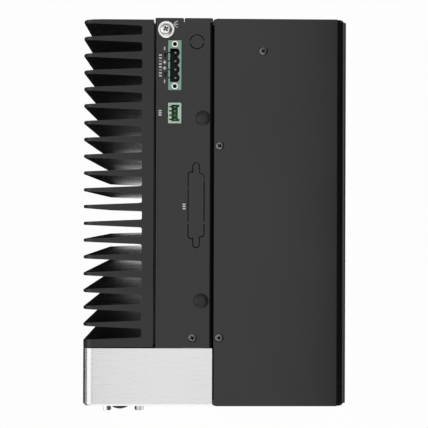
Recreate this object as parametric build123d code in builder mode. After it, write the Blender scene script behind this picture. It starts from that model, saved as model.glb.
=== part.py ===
from build123d import *
from math import radians, sqrt, tan
import os

# Fanless industrial computer with an expansion box bolted to its side.
# It stands on rubber feet. X runs across it, from the fin tips to the expansion box, Y runs from the
# front panel to the rear, and Z is up. The origin is under the middle of its outline, at the floor.

os.makedirs("parts", exist_ok=True)

# ---------------------------------------------------------------- Driving dimensions, millimetres
case_height = 192.0
case_depth = 230.6
foot_height = 3.0
foot_radius = 6.0
foot_edge = 0.8

# Finned heat sink
fin_count = 20
fin_length = 34.9
fin_tip = 1.9
fin_root = 4.8
fin_end_radius = 6.0
front_fin_inset = 3.4
rear_fin_inset = 1.3
sink_slab = 7.1
sink_seam = 0.6
seam_depth = 5.0
sink_gap = 0.7
sink_rear_inset = 1.15

# Small round pieces, and hidden ones, have few sides: it keeps the model light
small_sides = 16
hidden_sides = 8

# Sheet metal
sheet = 1.2
bend = 1.8
base_width = 34.3
return_flange = 12.0
plate_gap = 0.2
rear_pan_depth = 2.6
rear_pan_gap = 0.3
rear_pan_edge = 0.6
rear_window_border = 13.0

# Silver front bezel
bezel_depth = 34.3
bezel_wall = 2.0
bezel_edge = 1.2
tab_width = 13.0
tab_length = 12.0
tab_thickness = 2.5

# Expansion box
box_seam = 1.0
box_side_room = 9.0
box_rear_inset = 0.4
cover_bend = 6.0
cover_setback = 1.5
box_flange = 9.0
rear_flange = 16.0
slot_count = 3
slot_pitch = 20.32
slot_cover_width = 18.4
slot_cover_sheet = 0.9
slot_opening = 13.6
slot_recess = 12.0
slot_shelf_height = 130.0
slot_frame_base = 24.0
slot_screw_room = 18.0
slot_lip = 3.5

backplane_front = 20.0
backplane_length = 152.0
tongue_front = 42.0
tongue_length = 66.0
tongue_clearance = 2.0
link_window_height = 13.0
link_window_drop = 7.0

# Boards, and the processor with what carries its heat to the fins
board = 1.6
standoff_length = 4.9
standoff_inset = 34.0
backplane_height = 24.0
connector_depth = 11.0
processor_size = 37.5
processor_cap = 30.0
processor_height = 3.2
processor_substrate = 1.2
pad_thickness = 0.5
spreader_size = 50.0
spreader_screw = 21.0
spreader_clearance = 1.0

# Screws
m3_radius = 1.45
m3_hole = 1.5
m3_through = 1.6
m3_clear = 1.7
m3_head = 2.75
m3_head_height = 2.0
flat_head = 2.4
flat_slack = 0.05
flat_sides = 12
m4_radius = 1.95
m4_hole = 2.0
mount_hole = 2.1
short_screw = 5.0
long_screw = 7.0
first_screw_inset = 6.2
middle_screw_inset = 75.5
join_inset = 7.0
land_inset = 20.0
land_radius = 5.0

# Power button
button_radius = 4.6
button_proud = 2.8
button_crown = 2.2
button_crown_height = 1.1
button_sides = 24
button_travel = 0.8
button_clearance = 0.3
button_drop = 8.5
button_collar = 5.2
collar_thickness = 1.0
stop_gap = 0.2

# Sockets in the front panel, in two columns
first_column = 13.4
column_pitch = 19.6
dsub_drop = 17.0
usb_size = (14.6, 15.8)
usb_step = 35.505
lan_size = (15.9, 13.6)
usb_lan_gap = 6.3
audio_radius = 3.1
audio_bore = 1.8
lan_audio_gap = 6.1
led_count = 3
led_radius = 1.5
led_drop = 7.5
first_led = 36.3
led_pitch = 5.0
panel_gap = 0.3

# D-sub sockets and their jackscrews
dsub_length = 16.9
dsub_width = 8.4
dsub_corner = 1.5
dsub_slant = 10.0
dsub_flange = (12.5, 30.8)
dsub_flange_sheet = 0.8
dsub_reach = 5.9
dsub_shell = 0.5
dsub_pitch = 36.0
jackscrew_spacing = 24.99
jackscrew_proud = 5.2
jackscrew_flat = 4.9
jackscrew_thread = 1.3

# Green terminal headers in the top plate
header_width = 7.9
header_height = 11.0
header_wall = 1.1
header_proud = 0.3
power_header_length = 29.6
power_header_pitch = 5.0
power_header_bolts = 25.0
power_poles = 4
remote_header_length = 12.3
remote_pitch = 2.5
header_gap = 0.3

# Knock-outs and snap-in plugs of the top plate
knockout_radius = 4.15
knockout_slot = 3.9
knockout_reach = 50.4
knockout_length = 40.2
knockout_width = 9.5
groove = 0.6
micro_joint = 1.2
plug_hole = 3.25
plug_head = 4.5
plug_height = 1.6
plug_barb = 3.0

# ---------------------------------------------------------------- Stations worked out from them
box_width = slot_count * slot_pitch + 2 * box_side_room
box_depth = case_depth - box_rear_inset
flat_seat = m3_through + sheet
flat_recess = flat_seat - flat_head - flat_slack
total_width = fin_length + sink_slab + sink_seam + base_width + box_seam + box_width

x_tip = -total_width / 2
x_slab = x_tip + fin_length
x_sink = x_slab + sink_slab
x_wall = x_sink + sink_seam
x_side = x_wall + base_width
x_box = x_side + box_seam
x_right = x_box + box_width
x_tray = x_right - sheet
x_board = x_wall + sheet + standoff_length
x_board_face = x_board + board

y_front = -(case_depth - jackscrew_proud) / 2
y_back = y_front + case_depth
y_bezel = y_front + bezel_depth
y_chassis = y_bezel + plate_gap
y_chassis_back = y_back - rear_pan_depth
y_sink = y_bezel + sink_gap
y_sink_back = y_back - sink_rear_inset
y_box_back = y_front + box_depth
y_io = y_front + bezel_wall + connector_depth
y_io_back = y_io + board

z_bottom = foot_height
z_top = z_bottom + case_height
z_mid = z_bottom + case_height / 2
z_backplane = z_bottom + backplane_height
z_shelf = z_bottom + slot_shelf_height

sink_depth = y_sink_back - y_sink
fin_pitch = (sink_depth - front_fin_inset - rear_fin_inset) / (fin_count - 1)

MIN2 = (Align.MIN, Align.MIN)
MIN3 = (Align.MIN, Align.MIN, Align.MIN)


def front_plane(y):
    """Plane at depth y that faces the front: its x is X and its y is Z."""
    return Plane(origin=(0, y, 0), x_dir=(1, 0, 0), z_dir=(0, -1, 0))


def side_plane(x):
    """Plane at x that faces +X: its x is Y and its y is Z."""
    return Plane(origin=(x, 0, 0), x_dir=(0, 1, 0), z_dir=(1, 0, 0))


def facing(point, direction):
    """Plane at a point whose normal is the direction that a screw's head faces."""
    return Plane(origin=point, z_dir=direction)


def save(piece, node):
    """Label a finished piece and write it as its own STEP file."""
    piece.part.label = node
    export_step(piece.part, f"parts/{node}.step")


def folded_sheet(points):
    """Section of a folded sheet, from the corners of its middle line."""
    with BuildSketch() as section:
        with BuildLine():
            FilletPolyline(*points, radius=bend - sheet / 2)
        trace(line_width=sheet)
    return section.sketch


def d_outline(length, width, corner, round_corners=False, slant=dsub_slant):
    """D-shaped outline, long along y, with its long side towards -x."""
    inset = width * tan(radians(slant))
    with BuildSketch() as outline:
        Polygon(
            (-width / 2, -length / 2),
            (width / 2, inset - length / 2),
            (width / 2, length / 2 - inset),
            (-width / 2, length / 2),
            align=None,
        )
        ease = fillet if round_corners else chamfer
        ease(outline.vertices(), corner)
    return outline.sketch


# ---------------------------------------------------------------- Places that several pieces share
y_first_screw = y_bezel + first_screw_inset
top_screw = (x_side - 11.8, y_first_screw)
box_screws = [
    (x_box + 3.1, y_first_screw),
    (x_box + 3.1, y_box_back - middle_screw_inset),
    (x_box + 28.9, y_box_back - 19.0),
]
mount_holes_x = (x_side - 12.6, x_right - 27.7)
mount_holes_y = (y_front + 70.0, y_box_back - 40.2)
land_places = [
    (y, z)
    for y in (y_sink + 16.0, y_sink_back - 20.0)
    for z in (z_bottom + land_inset, z_top - land_inset)
]
join_places = [
    (y, z)
    for y in (y_front + 50.0, y_box_back - 30.2)
    for z in (z_bottom + join_inset, z_top - join_inset)
]
standoff_places = [
    (y, z)
    for y in (y_front + 42.0, y_back - 31.0)
    for z in (z_bottom + standoff_inset, z_top - standoff_inset)
]
processor_centre = (y_front + 134.0, z_mid + 10.0)

ground_centre = (x_wall + 6.4, y_back - 7.1)
header_x = x_board_face + header_width / 2
power_header_y = y_back - 28.2
remote_header_y = y_back - 56.6
plug_places = [(x_side - 5.8, y_back - 59.6), (x_side - 6.7, y_bezel + 28.1)]
knockout_centre = (x_side - 9.6, y_back - 14.2)
port_knockout_centre = (x_side - 9.8, y_bezel + 85.0)

column_x = (x_tip + first_column, x_tip + first_column + column_pitch)
first_port_z = z_top - dsub_drop - jackscrew_spacing / 2
port_rows_z = (first_port_z, first_port_z - dsub_pitch)
button_centre = (x_tip + 21.9, z_top - button_drop)
led_places = [
    (x_tip + first_led + index * led_pitch, z_top - led_drop) for index in range(led_count)
]
usb_z = port_rows_z[1] - usb_step
lan_z = usb_z - (usb_size[1] + lan_size[1]) / 2 - usb_lan_gap
audio_z = lan_z - lan_size[1] / 2 - audio_radius - lan_audio_gap

rear_pan_width = (base_width - rear_pan_gap) / 2
rear_pan_xs = (x_wall, x_side - rear_pan_width)
rear_screws = [
    (x + rear_pan_width / 2, z)
    for x in rear_pan_xs
    for z in (z_bottom + rear_window_border / 2, z_top - rear_window_border / 2)
]

slot_xs = [
    (x_box + sheet + x_tray) / 2 + slot_pitch * (index - (slot_count - 1) / 2)
    for index in range(slot_count)
]
slot_window = slot_pitch * slot_count + 4.0
x_slots = sum(slot_xs) / slot_count
y_slot_wall = y_front + sheet + slot_recess
y_slot_cover = y_slot_wall + sheet
backplane_y = (y_front + backplane_front, y_front + backplane_front + backplane_length)
tongue_y = (backplane_y[0] + tongue_front, backplane_y[0] + tongue_front + tongue_length)
backplane_posts = [
    (x, y)
    for x in (x_box + 8.4, x_tray - 8.0)
    for y in (backplane_y[0] + 8.0, backplane_y[1] - 8.0)
]

# ---------------------------------------------------------------- Heat sink
with BuildPart() as heat_sink:
    with BuildSketch(Plane.XY.offset(z_bottom)):
        with Locations((x_slab, y_sink)):
            Rectangle(sink_slab, sink_depth, align=MIN2)
        for index in range(fin_count):
            y_fin = y_sink + front_fin_inset + index * fin_pitch
            Polygon(
                (x_tip, y_fin - fin_tip / 2),
                (x_slab, y_fin - fin_root / 2),
                (x_slab, y_fin + fin_root / 2),
                (x_tip, y_fin + fin_tip / 2),
                align=None,
            )
        # The front fin is thicker, because its outer face is the flat end of the extrusion
        with Locations((x_tip, y_sink)):
            Rectangle(fin_length, front_fin_inset, align=MIN2)
        # The rear fin is cut flat at the other end
        with Locations((x_tip, y_sink_back)):
            Rectangle(fin_length + sink_slab, fin_root, align=MIN2, mode=Mode.SUBTRACT)
    extrude(amount=case_height)
    # The fins' upper and lower outer corners are rounded across all of them
    with BuildSketch(front_plane(y_sink_back)) as ends:
        with Locations((x_tip, z_bottom)):
            Rectangle(fin_length + sink_slab, case_height, align=MIN2)
        fillet(ends.vertices().group_by(Axis.X)[0], fin_end_radius)
    extrude(amount=sink_depth, mode=Mode.INTERSECT)
    # The raised back face meets the chassis wall, short of the ends, with blind tapped holes
    with BuildSketch(side_plane(x_sink)):
        with Locations((y_sink, z_bottom + seam_depth)):
            Rectangle(sink_depth, case_height - 2 * seam_depth, align=MIN2)
    extrude(amount=sink_seam)
    with BuildSketch(side_plane(x_wall)):
        with Locations(*land_places):
            RegularPolygon(m3_hole, hidden_sides)
        with Locations(processor_centre):
            with GridLocations(2 * spreader_screw, 2 * spreader_screw, 2, 2):
                RegularPolygon(m3_hole, hidden_sides)
    extrude(amount=-(long_screw - 1.0), mode=Mode.SUBTRACT)
save(heat_sink, "heat_sink")

# ---------------------------------------------------------------- Main chassis
with BuildSketch() as port_shape:
    add(d_outline(knockout_length, knockout_width, 1.6, round_corners=True))
    SlotOverall(knockout_reach, knockout_slot, rotation=90)

with BuildPart() as main_chassis:
    with BuildSketch(front_plane(y_chassis_back)):
        add(
            folded_sheet(
                [
                    (x_side - sheet / 2, z_bottom + return_flange),
                    (x_side - sheet / 2, z_bottom + sheet / 2),
                    (x_wall + sheet / 2, z_bottom + sheet / 2),
                    (x_wall + sheet / 2, z_top - sheet / 2),
                    (x_side - sheet / 2, z_top - sheet / 2),
                    (x_side - sheet / 2, z_top - return_flange),
                ]
            )
        )
    extrude(amount=y_chassis_back - y_chassis)
    # Rear flange that carries the two rear covers
    with BuildSketch(front_plane(y_chassis_back)):
        with Locations((x_wall, z_bottom)):
            Rectangle(base_width, case_height, align=MIN2)
        with Locations((x_wall + 8.0, z_bottom + rear_window_border)):
            Rectangle(
                base_width - 14.0,
                case_height - 2 * rear_window_border,
                align=MIN2,
                mode=Mode.SUBTRACT,
            )
        with Locations(*rear_screws):
            RegularPolygon(m3_hole, hidden_sides, mode=Mode.SUBTRACT)
    extrude(amount=sheet)
    # Round the flange's corners to the bends
    with BuildSketch(front_plane(y_chassis_back)) as skin:
        with Locations((x_wall, z_bottom)):
            Rectangle(base_width, case_height, align=MIN2)
        fillet(skin.vertices(), bend)
    extrude(amount=y_chassis_back - y_chassis, mode=Mode.INTERSECT)
    # Window for the heat spreader, and holes for the screws into the heat sink
    with BuildSketch(side_plane(x_wall)):
        with Locations(processor_centre):
            Rectangle(
                spreader_size + 2 * spreader_clearance, spreader_size + 2 * spreader_clearance
            )
        with Locations(*land_places):
            RegularPolygon(m3_clear, hidden_sides)
    extrude(amount=sheet, mode=Mode.SUBTRACT)
    # Tapped holes in the return flanges, where the expansion box is joined
    with BuildSketch(side_plane(x_side)):
        with Locations(*join_places):
            RegularPolygon(m3_hole, hidden_sides)
    extrude(amount=-sheet, mode=Mode.SUBTRACT)
    # Cut-outs of the top plate
    with BuildSketch(Plane.XY.offset(z_top)):
        with Locations(ground_centre):
            RegularPolygon(m4_hole, hidden_sides)
        with Locations(*plug_places):
            RegularPolygon(plug_hole, hidden_sides)
        with Locations((header_x, power_header_y)):
            Rectangle(header_width + 2 * header_gap, power_header_length + 2 * header_gap)
        with Locations((header_x, remote_header_y)):
            Rectangle(header_width + 2 * header_gap, remote_header_length + 2 * header_gap)
        # Coding notches beside the power header
        with Locations(
            (x_board_face - 1.1, power_header_y - 5.6),
            (x_board_face - 1.1, power_header_y + 5.9),
        ):
            Rectangle(2.3, 2.7)
    extrude(amount=-sheet, mode=Mode.SUBTRACT)
    # Knock-outs, held by micro joints: one round, one for a 25-way port
    with BuildSketch(Plane.XY.offset(z_top)):
        with Locations(knockout_centre):
            Circle(knockout_radius + groove / 2)
            Circle(knockout_radius - groove / 2, mode=Mode.SUBTRACT)
            Rectangle(3 * knockout_radius, micro_joint, mode=Mode.SUBTRACT)
    extrude(amount=-sheet, mode=Mode.SUBTRACT)
    with BuildSketch(Plane.XY.offset(z_top).move(Location((*port_knockout_centre, 0)))):
        offset(port_shape.sketch, amount=groove / 2, kind=Kind.INTERSECTION)
        offset(port_shape.sketch, amount=-groove / 2, kind=Kind.INTERSECTION, mode=Mode.SUBTRACT)
        with Locations((-4.9, 10.5), (-4.9, -10.4), (4.9, -10.4)):
            Rectangle(micro_joint, micro_joint, mode=Mode.SUBTRACT)
    extrude(amount=-sheet, mode=Mode.SUBTRACT)
    # Countersunk holes for the bezel's screws, top and bottom
    for z_plate, inward in ((z_top, -sheet), (z_bottom, sheet)):
        with BuildSketch(Plane.XY.offset(z_plate)):
            with Locations(top_screw):
                RegularPolygon(flat_seat, flat_sides)
        extrude(amount=inward, taper=45, mode=Mode.SUBTRACT)
    # Threaded holes for a wall bracket
    with BuildSketch(Plane.XY.offset(z_bottom)):
        with Locations(*[(mount_holes_x[0], y) for y in mount_holes_y]):
            Circle(mount_hole)
    extrude(amount=sheet, mode=Mode.SUBTRACT)
save(main_chassis, "main_chassis")

# ---------------------------------------------------------------- Rear covers, two shallow pans
for node, x_pan in zip(("rear_cover_left", "rear_cover_right"), rear_pan_xs):
    with BuildPart() as rear_cover:
        with Locations((x_pan, y_chassis_back, z_bottom)):
            Box(rear_pan_width, rear_pan_depth, case_height, align=MIN3)
        chamfer(rear_cover.faces().sort_by(Axis.Y)[-1].edges(), rear_pan_edge)
        offset(amount=-sheet, openings=rear_cover.faces().sort_by(Axis.Y)[0])
        # Screw pillars, embossed from the plate to reach the chassis, and countersunk
        pillars = [(x, z) for x, z in rear_screws if x_pan < x < x_pan + rear_pan_width]
        with BuildSketch(front_plane(y_back - sheet)):
            with Locations(*pillars):
                RegularPolygon(land_radius, hidden_sides)
        extrude(amount=rear_pan_depth - sheet)
        with BuildSketch(front_plane(y_back)):
            with Locations(*pillars):
                RegularPolygon(flat_seat, flat_sides)
        extrude(amount=sheet, taper=45, mode=Mode.SUBTRACT)
        with BuildSketch(front_plane(y_back)):
            with Locations(*pillars):
                RegularPolygon(m3_through, hidden_sides)
        extrude(amount=rear_pan_depth, mode=Mode.SUBTRACT)
    save(rear_cover, node)

# ---------------------------------------------------------------- Front bezel
port_cut = d_outline(dsub_length + 2 * panel_gap, dsub_width + 2 * panel_gap, dsub_corner)
bezel_width = x_side - x_tip
jack_places = [
    (x, z + side * jackscrew_spacing / 2)
    for x in column_x
    for z in port_rows_z
    for side in (-1, 1)
]
bezel_land_z = (z_bottom + 30.0, z_top - 30.0)
with BuildPart() as front_bezel:
    with BuildSketch(front_plane(y_bezel)) as face:
        with Locations((x_tip, z_bottom)):
            Rectangle(bezel_width, case_height, align=MIN2)
        fillet(face.vertices().group_by(Axis.X)[0], fin_end_radius)
    extrude(amount=bezel_depth)
    chamfer(front_bezel.faces().sort_by(Axis.Y)[0].edges(), bezel_edge)
    # Hollow behind the front wall
    with BuildSketch(front_plane(y_bezel - bezel_wall)) as inside:
        with Locations((x_tip + bezel_wall, z_bottom + bezel_wall)):
            Rectangle(
                bezel_width - 2 * bezel_wall, case_height - 2 * bezel_wall, align=MIN2
            )
        fillet(inside.vertices().group_by(Axis.X)[0], fin_end_radius - bezel_wall)
    extrude(amount=bezel_depth - 2 * bezel_wall, mode=Mode.SUBTRACT)
    # Open at the back behind the chassis, closed behind the fins
    with BuildSketch(front_plane(y_bezel)):
        with Locations((x_wall + sheet, z_bottom + bezel_wall)):
            Rectangle(
                x_side - bezel_wall - x_wall - sheet, case_height - 2 * bezel_wall, align=MIN2
            )
    extrude(amount=bezel_wall, mode=Mode.SUBTRACT)
    # Tabs under the chassis's plates, each with a tapped hole
    for z_tab in (z_top - sheet - tab_thickness, z_bottom + sheet):
        with Locations((top_screw[0] - tab_width / 2, y_bezel - tab_length, z_tab)):
            Box(tab_width, 2 * tab_length, tab_thickness, align=MIN3)
    with BuildSketch(Plane.XY.offset(z_top)):
        with Locations(top_screw):
            RegularPolygon(m3_hole, hidden_sides)
    extrude(amount=-case_height, mode=Mode.SUBTRACT)
    # Lands on the rear wall meet the heat sink's front end
    with BuildSketch(front_plane(y_sink)):
        with Locations(*[(x_slab + sink_slab / 2, z) for z in bezel_land_z]):
            RegularPolygon(sink_slab / 2, hidden_sides)
    extrude(amount=sink_gap)
    # Openings of the front wall
    with BuildSketch(front_plane(y_front + bezel_wall)):
        with Locations(*[(x, z) for x in column_x for z in port_rows_z]):
            add(port_cut)
        with Locations(*jack_places):
            RegularPolygon(m3_clear, hidden_sides)
        with Locations(button_centre):
            Circle(button_radius + button_clearance)
        with Locations(*led_places):
            RegularPolygon(led_radius + panel_gap / 2, small_sides)
        for x_column in column_x:
            with Locations((x_column, usb_z)):
                Rectangle(usb_size[0] + 2 * panel_gap, usb_size[1] + 2 * panel_gap)
            with Locations((x_column, lan_z)):
                Rectangle(lan_size[0] + 2 * panel_gap, lan_size[1] + 2 * panel_gap)
            with Locations((x_column, audio_z)):
                RegularPolygon(audio_radius + panel_gap, small_sides)
    extrude(amount=bezel_wall, mode=Mode.SUBTRACT)
save(front_bezel, "front_bezel")

# ---------------------------------------------------------------- Expansion box: tray, slots and cover
window_z = (z_bottom + slot_frame_base, z_shelf + slot_screw_room)
tray_height = case_height - sheet
x_rim = x_side + sheet / 2
y_rim = y_front + sheet / 2
z_rim = z_bottom + tray_height
with BuildPart() as expansion_chassis:
    with BuildSketch(Plane.XY.offset(z_bottom)):
        add(
            folded_sheet(
                [
                    (x_tray - sheet / 2, y_front + return_flange),
                    (x_tray - sheet / 2, y_front + sheet / 2),
                    (x_side + sheet / 2, y_front + sheet / 2),
                    (x_side + sheet / 2, y_box_back - sheet / 2),
                    (x_tray - sheet / 2, y_box_back - sheet / 2),
                    (x_tray - sheet / 2, y_box_back - return_flange),
                ]
            )
        )
    extrude(amount=tray_height)
    # Floor, and the flanges under the cover's screws: their rims lie within the walls
    with BuildSketch(Plane.XY.offset(z_bottom)) as floor:
        with Locations((x_rim, y_rim)):
            Rectangle(x_tray - x_side - sheet, box_depth - sheet, align=MIN2)
        fillet(floor.vertices(), bend - sheet / 2)
    extrude(amount=sheet)
    with BuildSketch(Plane.XY.offset(z_rim)) as flanges:
        with Locations((x_rim, y_rim)):
            Rectangle(box_seam + box_flange - sheet / 2, box_depth - sheet, align=MIN2)
        fillet(flanges.vertices().group_by(Axis.X)[0], bend - sheet / 2)
        with Locations((box_screws[2][0], box_screws[2][1] - rear_flange / 2)):
            Rectangle(
                rear_flange,
                y_box_back - sheet / 2 - box_screws[2][1] + rear_flange / 2,
                align=(Align.CENTER, Align.MIN),
            )
    extrude(amount=-sheet)
    # Round the corners under the cover's bend, and the fold along the left flange
    with BuildSketch(front_plane(y_box_back + sheet)):
        with Locations((x_tray - cover_bend, z_rim - cover_bend)):
            Rectangle(2 * cover_bend, 2 * cover_bend, align=MIN2)
            Circle(cover_bend, mode=Mode.SUBTRACT)
    extrude(amount=box_depth + 2 * sheet, mode=Mode.SUBTRACT)
    with BuildSketch(front_plane(y_box_back - 2 * bend)):
        with Locations((x_side + bend, z_rim - bend)):
            Rectangle(2 * bend, 2 * bend, align=(Align.MAX, Align.MIN))
            Circle(bend, mode=Mode.SUBTRACT)
    extrude(amount=box_depth - 4 * bend, mode=Mode.SUBTRACT)
    # Holes for the screws into the base unit, and a window for the board that links the two
    with BuildSketch(side_plane(x_side)):
        with Locations(*join_places):
            RegularPolygon(m3_clear, hidden_sides)
        with Locations((tongue_y[0] - tongue_clearance, z_backplane - link_window_drop)):
            Rectangle(tongue_length + 2 * tongue_clearance, link_window_height, align=MIN2)
    extrude(amount=sheet, mode=Mode.SUBTRACT)
    # Slot window in the front wall
    with BuildSketch(front_plane(y_front + sheet)):
        with Locations((x_slots - slot_window / 2, window_z[0])):
            Rectangle(slot_window, window_z[1] - window_z[0], align=MIN2)
    extrude(amount=sheet, mode=Mode.SUBTRACT)
    # Tapped holes for the cover, and threaded holes for a wall bracket
    with BuildSketch(Plane.XY.offset(z_top - sheet)):
        with Locations(*box_screws):
            RegularPolygon(m3_hole, hidden_sides)
    extrude(amount=-sheet, mode=Mode.SUBTRACT)
    with BuildSketch(Plane.XY.offset(z_bottom)):
        with Locations(*[(mount_holes_x[1], y) for y in mount_holes_y]):
            Circle(mount_hole)
        with Locations(*backplane_posts):
            RegularPolygon(m3_hole, hidden_sides)
    extrude(amount=sheet, mode=Mode.SUBTRACT)
save(expansion_chassis, "expansion_chassis")

with BuildPart() as expansion_cover:
    # A top plate folded down into the right side
    with BuildSketch(front_plane(y_box_back)) as outer:
        with Locations((x_box, z_bottom)):
            Rectangle(box_width, case_height, align=MIN2)
        fillet(outer.vertices().group_by(Axis.X)[-1].sort_by(Axis.Y)[-1], cover_bend)
    extrude(amount=box_depth)
    with BuildSketch(front_plane(y_box_back)) as hollow:
        with Locations((x_box, z_bottom)):
            Rectangle(box_width - sheet, case_height - sheet, align=MIN2)
        fillet(hollow.vertices().group_by(Axis.X)[-1].sort_by(Axis.Y)[-1], cover_bend - sheet)
    extrude(amount=box_depth, mode=Mode.SUBTRACT)
    # The side stops short of the front and rear walls
    for y_cut in (y_front, y_box_back - cover_setback):
        with Locations((x_right - cover_bend, y_cut, z_bottom)):
            Box(cover_bend, cover_setback, case_height, align=MIN3, mode=Mode.SUBTRACT)
    left_corners = expansion_cover.edges().filter_by(Axis.Z).group_by(Axis.X)[0]
    fillet(left_corners, bend)
    with BuildSketch(Plane.XY.offset(z_top)):
        with Locations(*box_screws):
            RegularPolygon(flat_seat, flat_sides)
    extrude(amount=-sheet, taper=45, mode=Mode.SUBTRACT)
save(expansion_cover, "expansion_cover")

# Recess behind the slot window: covers hang on its shelf
with BuildPart() as slot_frame:
    frame_width = slot_window + 2 * sheet
    with Locations((x_slots - frame_width / 2, y_front + sheet, window_z[0] - sheet)):
        Box(frame_width, slot_recess + sheet, window_z[1] - window_z[0] + 2 * sheet, align=MIN3)
    with Locations((x_slots - slot_window / 2 - slot_lip, y_front + sheet, window_z[0] - slot_lip)):
        Box(
            slot_window + 2 * slot_lip,
            sheet,
            window_z[1] - window_z[0] + 2 * slot_lip,
            align=MIN3,
        )
    for z_low, z_high in ((window_z[0], z_shelf - sheet), (z_shelf, window_z[1])):
        with Locations((x_slots - slot_window / 2, y_front + sheet, z_low)):
            Box(slot_window, slot_recess, z_high - z_low, align=MIN3, mode=Mode.SUBTRACT)
    with BuildSketch(front_plane(y_slot_cover)):
        for x_slot in slot_xs:
            with Locations((x_slot - slot_opening / 2, window_z[0] + 6.0)):
                Rectangle(slot_opening, slot_shelf_height - 36.0, align=MIN2)
            with Locations((x_slot - slot_cover_width / 2 - panel_gap, z_shelf)):
                Rectangle(slot_cover_width + 2 * panel_gap, 2 * slot_cover_sheet, align=MIN2)
    extrude(amount=sheet, mode=Mode.SUBTRACT)
    slot_screws = [(x, y_slot_wall - slot_recess / 2) for x in slot_xs]
    with BuildSketch(Plane.XY.offset(z_shelf)):
        with Locations(*slot_screws):
            RegularPolygon(m3_hole, hidden_sides)
    extrude(amount=-sheet, mode=Mode.SUBTRACT)
save(slot_frame, "slot_frame")

# Blank slot covers: a tall plate with a tapered tongue, its tab folded out over the shelf
tongue_tip = z_bottom + 10.0
for index, x_slot in enumerate(slot_xs):
    with BuildPart() as slot_cover:
        with BuildSketch(front_plane(y_slot_cover + slot_cover_sheet)) as blade:
            with Locations((x_slot - slot_cover_width / 2, tongue_tip + 10.0)):
                Rectangle(
                    slot_cover_width, z_shelf + slot_cover_sheet - tongue_tip - 10.0, align=MIN2
                )
            Polygon(
                (x_slot - slot_cover_width / 2, tongue_tip + 10.0),
                (x_slot - 5.0, tongue_tip + 7.0),
                (x_slot - 4.5, tongue_tip),
                (x_slot + 4.5, tongue_tip),
                (x_slot + 5.0, tongue_tip + 7.0),
                (x_slot + slot_cover_width / 2, tongue_tip + 10.0),
                align=None,
            )
        extrude(amount=slot_cover_sheet)
        with Locations((x_slot - slot_cover_width / 2, y_front + sheet + 0.6, z_shelf)):
            Box(
                slot_cover_width,
                y_slot_cover - y_front - sheet - 0.6,
                slot_cover_sheet,
                align=MIN3,
            )
        tab_corners = slot_cover.edges().filter_by(Axis.Z).group_by(Axis.Y)[0]
        chamfer(tab_corners, 1.5)
        with BuildSketch(Plane.XY.offset(z_shelf)):
            with Locations(slot_screws[index]):
                RegularPolygon(m3_clear, hidden_sides)
        extrude(amount=slot_cover_sheet, mode=Mode.SUBTRACT)
    save(slot_cover, f"slot_cover_{index + 1}")

# ---------------------------------------------------------------- Boards and what they carry
board_z = (z_bottom + 9.0, z_top - 2.6)
board_y = (y_io_back + 6.0, y_chassis_back - 10.0)
with BuildPart() as mainboard:
    with BuildSketch(side_plane(x_board)):
        with Locations((board_y[0], board_z[0])):
            Rectangle(board_y[1] - board_y[0], board_z[1] - board_z[0], align=MIN2)
        with Locations(*standoff_places):
            RegularPolygon(m3_hole, hidden_sides, mode=Mode.SUBTRACT)
    extrude(amount=board)
save(mainboard, "mainboard")

with BuildPart() as standoffs:
    with BuildSketch(side_plane(x_wall + sheet)):
        with Locations(*standoff_places):
            RegularPolygon(m3_head, 6, major_radius=False)
            RegularPolygon(m3_hole, hidden_sides, mode=Mode.SUBTRACT)
    extrude(amount=standoff_length)
    with BuildSketch(Plane.XY.offset(z_bottom + sheet)):
        with Locations(*backplane_posts):
            RegularPolygon(m3_head, 6, major_radius=False)
            RegularPolygon(m3_hole, hidden_sides, mode=Mode.SUBTRACT)
    extrude(amount=backplane_height - board - sheet)
save(standoffs, "standoffs")

with BuildPart() as processor:
    with BuildSketch(side_plane(x_board)):
        with Locations(processor_centre):
            Rectangle(processor_size, processor_size)
    extrude(amount=-processor_substrate)
    with BuildSketch(side_plane(x_board - processor_substrate)):
        with Locations(processor_centre):
            Rectangle(processor_cap, processor_cap)
    extrude(amount=-(processor_height - processor_substrate))
save(processor, "processor")

x_pad = x_board - processor_height
with BuildPart() as thermal_pad:
    with BuildSketch(side_plane(x_pad)):
        with Locations(processor_centre):
            Rectangle(processor_cap, processor_cap)
    extrude(amount=-pad_thickness)
save(thermal_pad, "thermal_pad")

x_spreader = x_pad - pad_thickness
with BuildPart() as heat_spreader:
    with BuildSketch(side_plane(x_wall)):
        with Locations(processor_centre):
            Rectangle(spreader_size, spreader_size)
            with GridLocations(2 * spreader_screw, 2 * spreader_screw, 2, 2):
                RegularPolygon(m3_clear, hidden_sides, mode=Mode.SUBTRACT)
    extrude(amount=x_spreader - x_wall)
save(heat_spreader, "heat_spreader")

# Memory module, lying flat in its angled socket
memory_y = y_front + 66.0
memory_z = z_bottom + 100.0
socket_length = 72.0
socket_depth = 6.5
socket_rise = 5.2
socket_end = 2.0
arm_width = 1.4
arm_length = 24.0
module_size = (1.2, 30.0)
module_rise = 2.9
module_tuck = 4.0
module_gap = 0.2
chip_size = (1.1, 12.0, 14.0)
chip_count = 4
chip_pitch = 16.0
module_y = memory_y + socket_end + module_gap
module_length = socket_length - 2 * (socket_end + module_gap)
with BuildPart() as memory_socket:
    with Locations((x_board_face, memory_y, memory_z - socket_depth)):
        Box(socket_rise, socket_length, socket_depth, align=MIN3)
    with Locations(
        (
            x_board_face + module_rise - module_gap / 2,
            memory_y + socket_end,
            memory_z - module_tuck,
        )
    ):
        Box(
            module_size[0] + module_gap,
            socket_length - 2 * socket_end,
            module_tuck,
            align=MIN3,
            mode=Mode.SUBTRACT,
        )
    for y_arm in (memory_y, memory_y + socket_length - arm_width):
        with Locations((x_board_face, y_arm, memory_z)):
            Box(socket_rise, arm_width, arm_length, align=MIN3)
save(memory_socket, "memory_socket")

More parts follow.
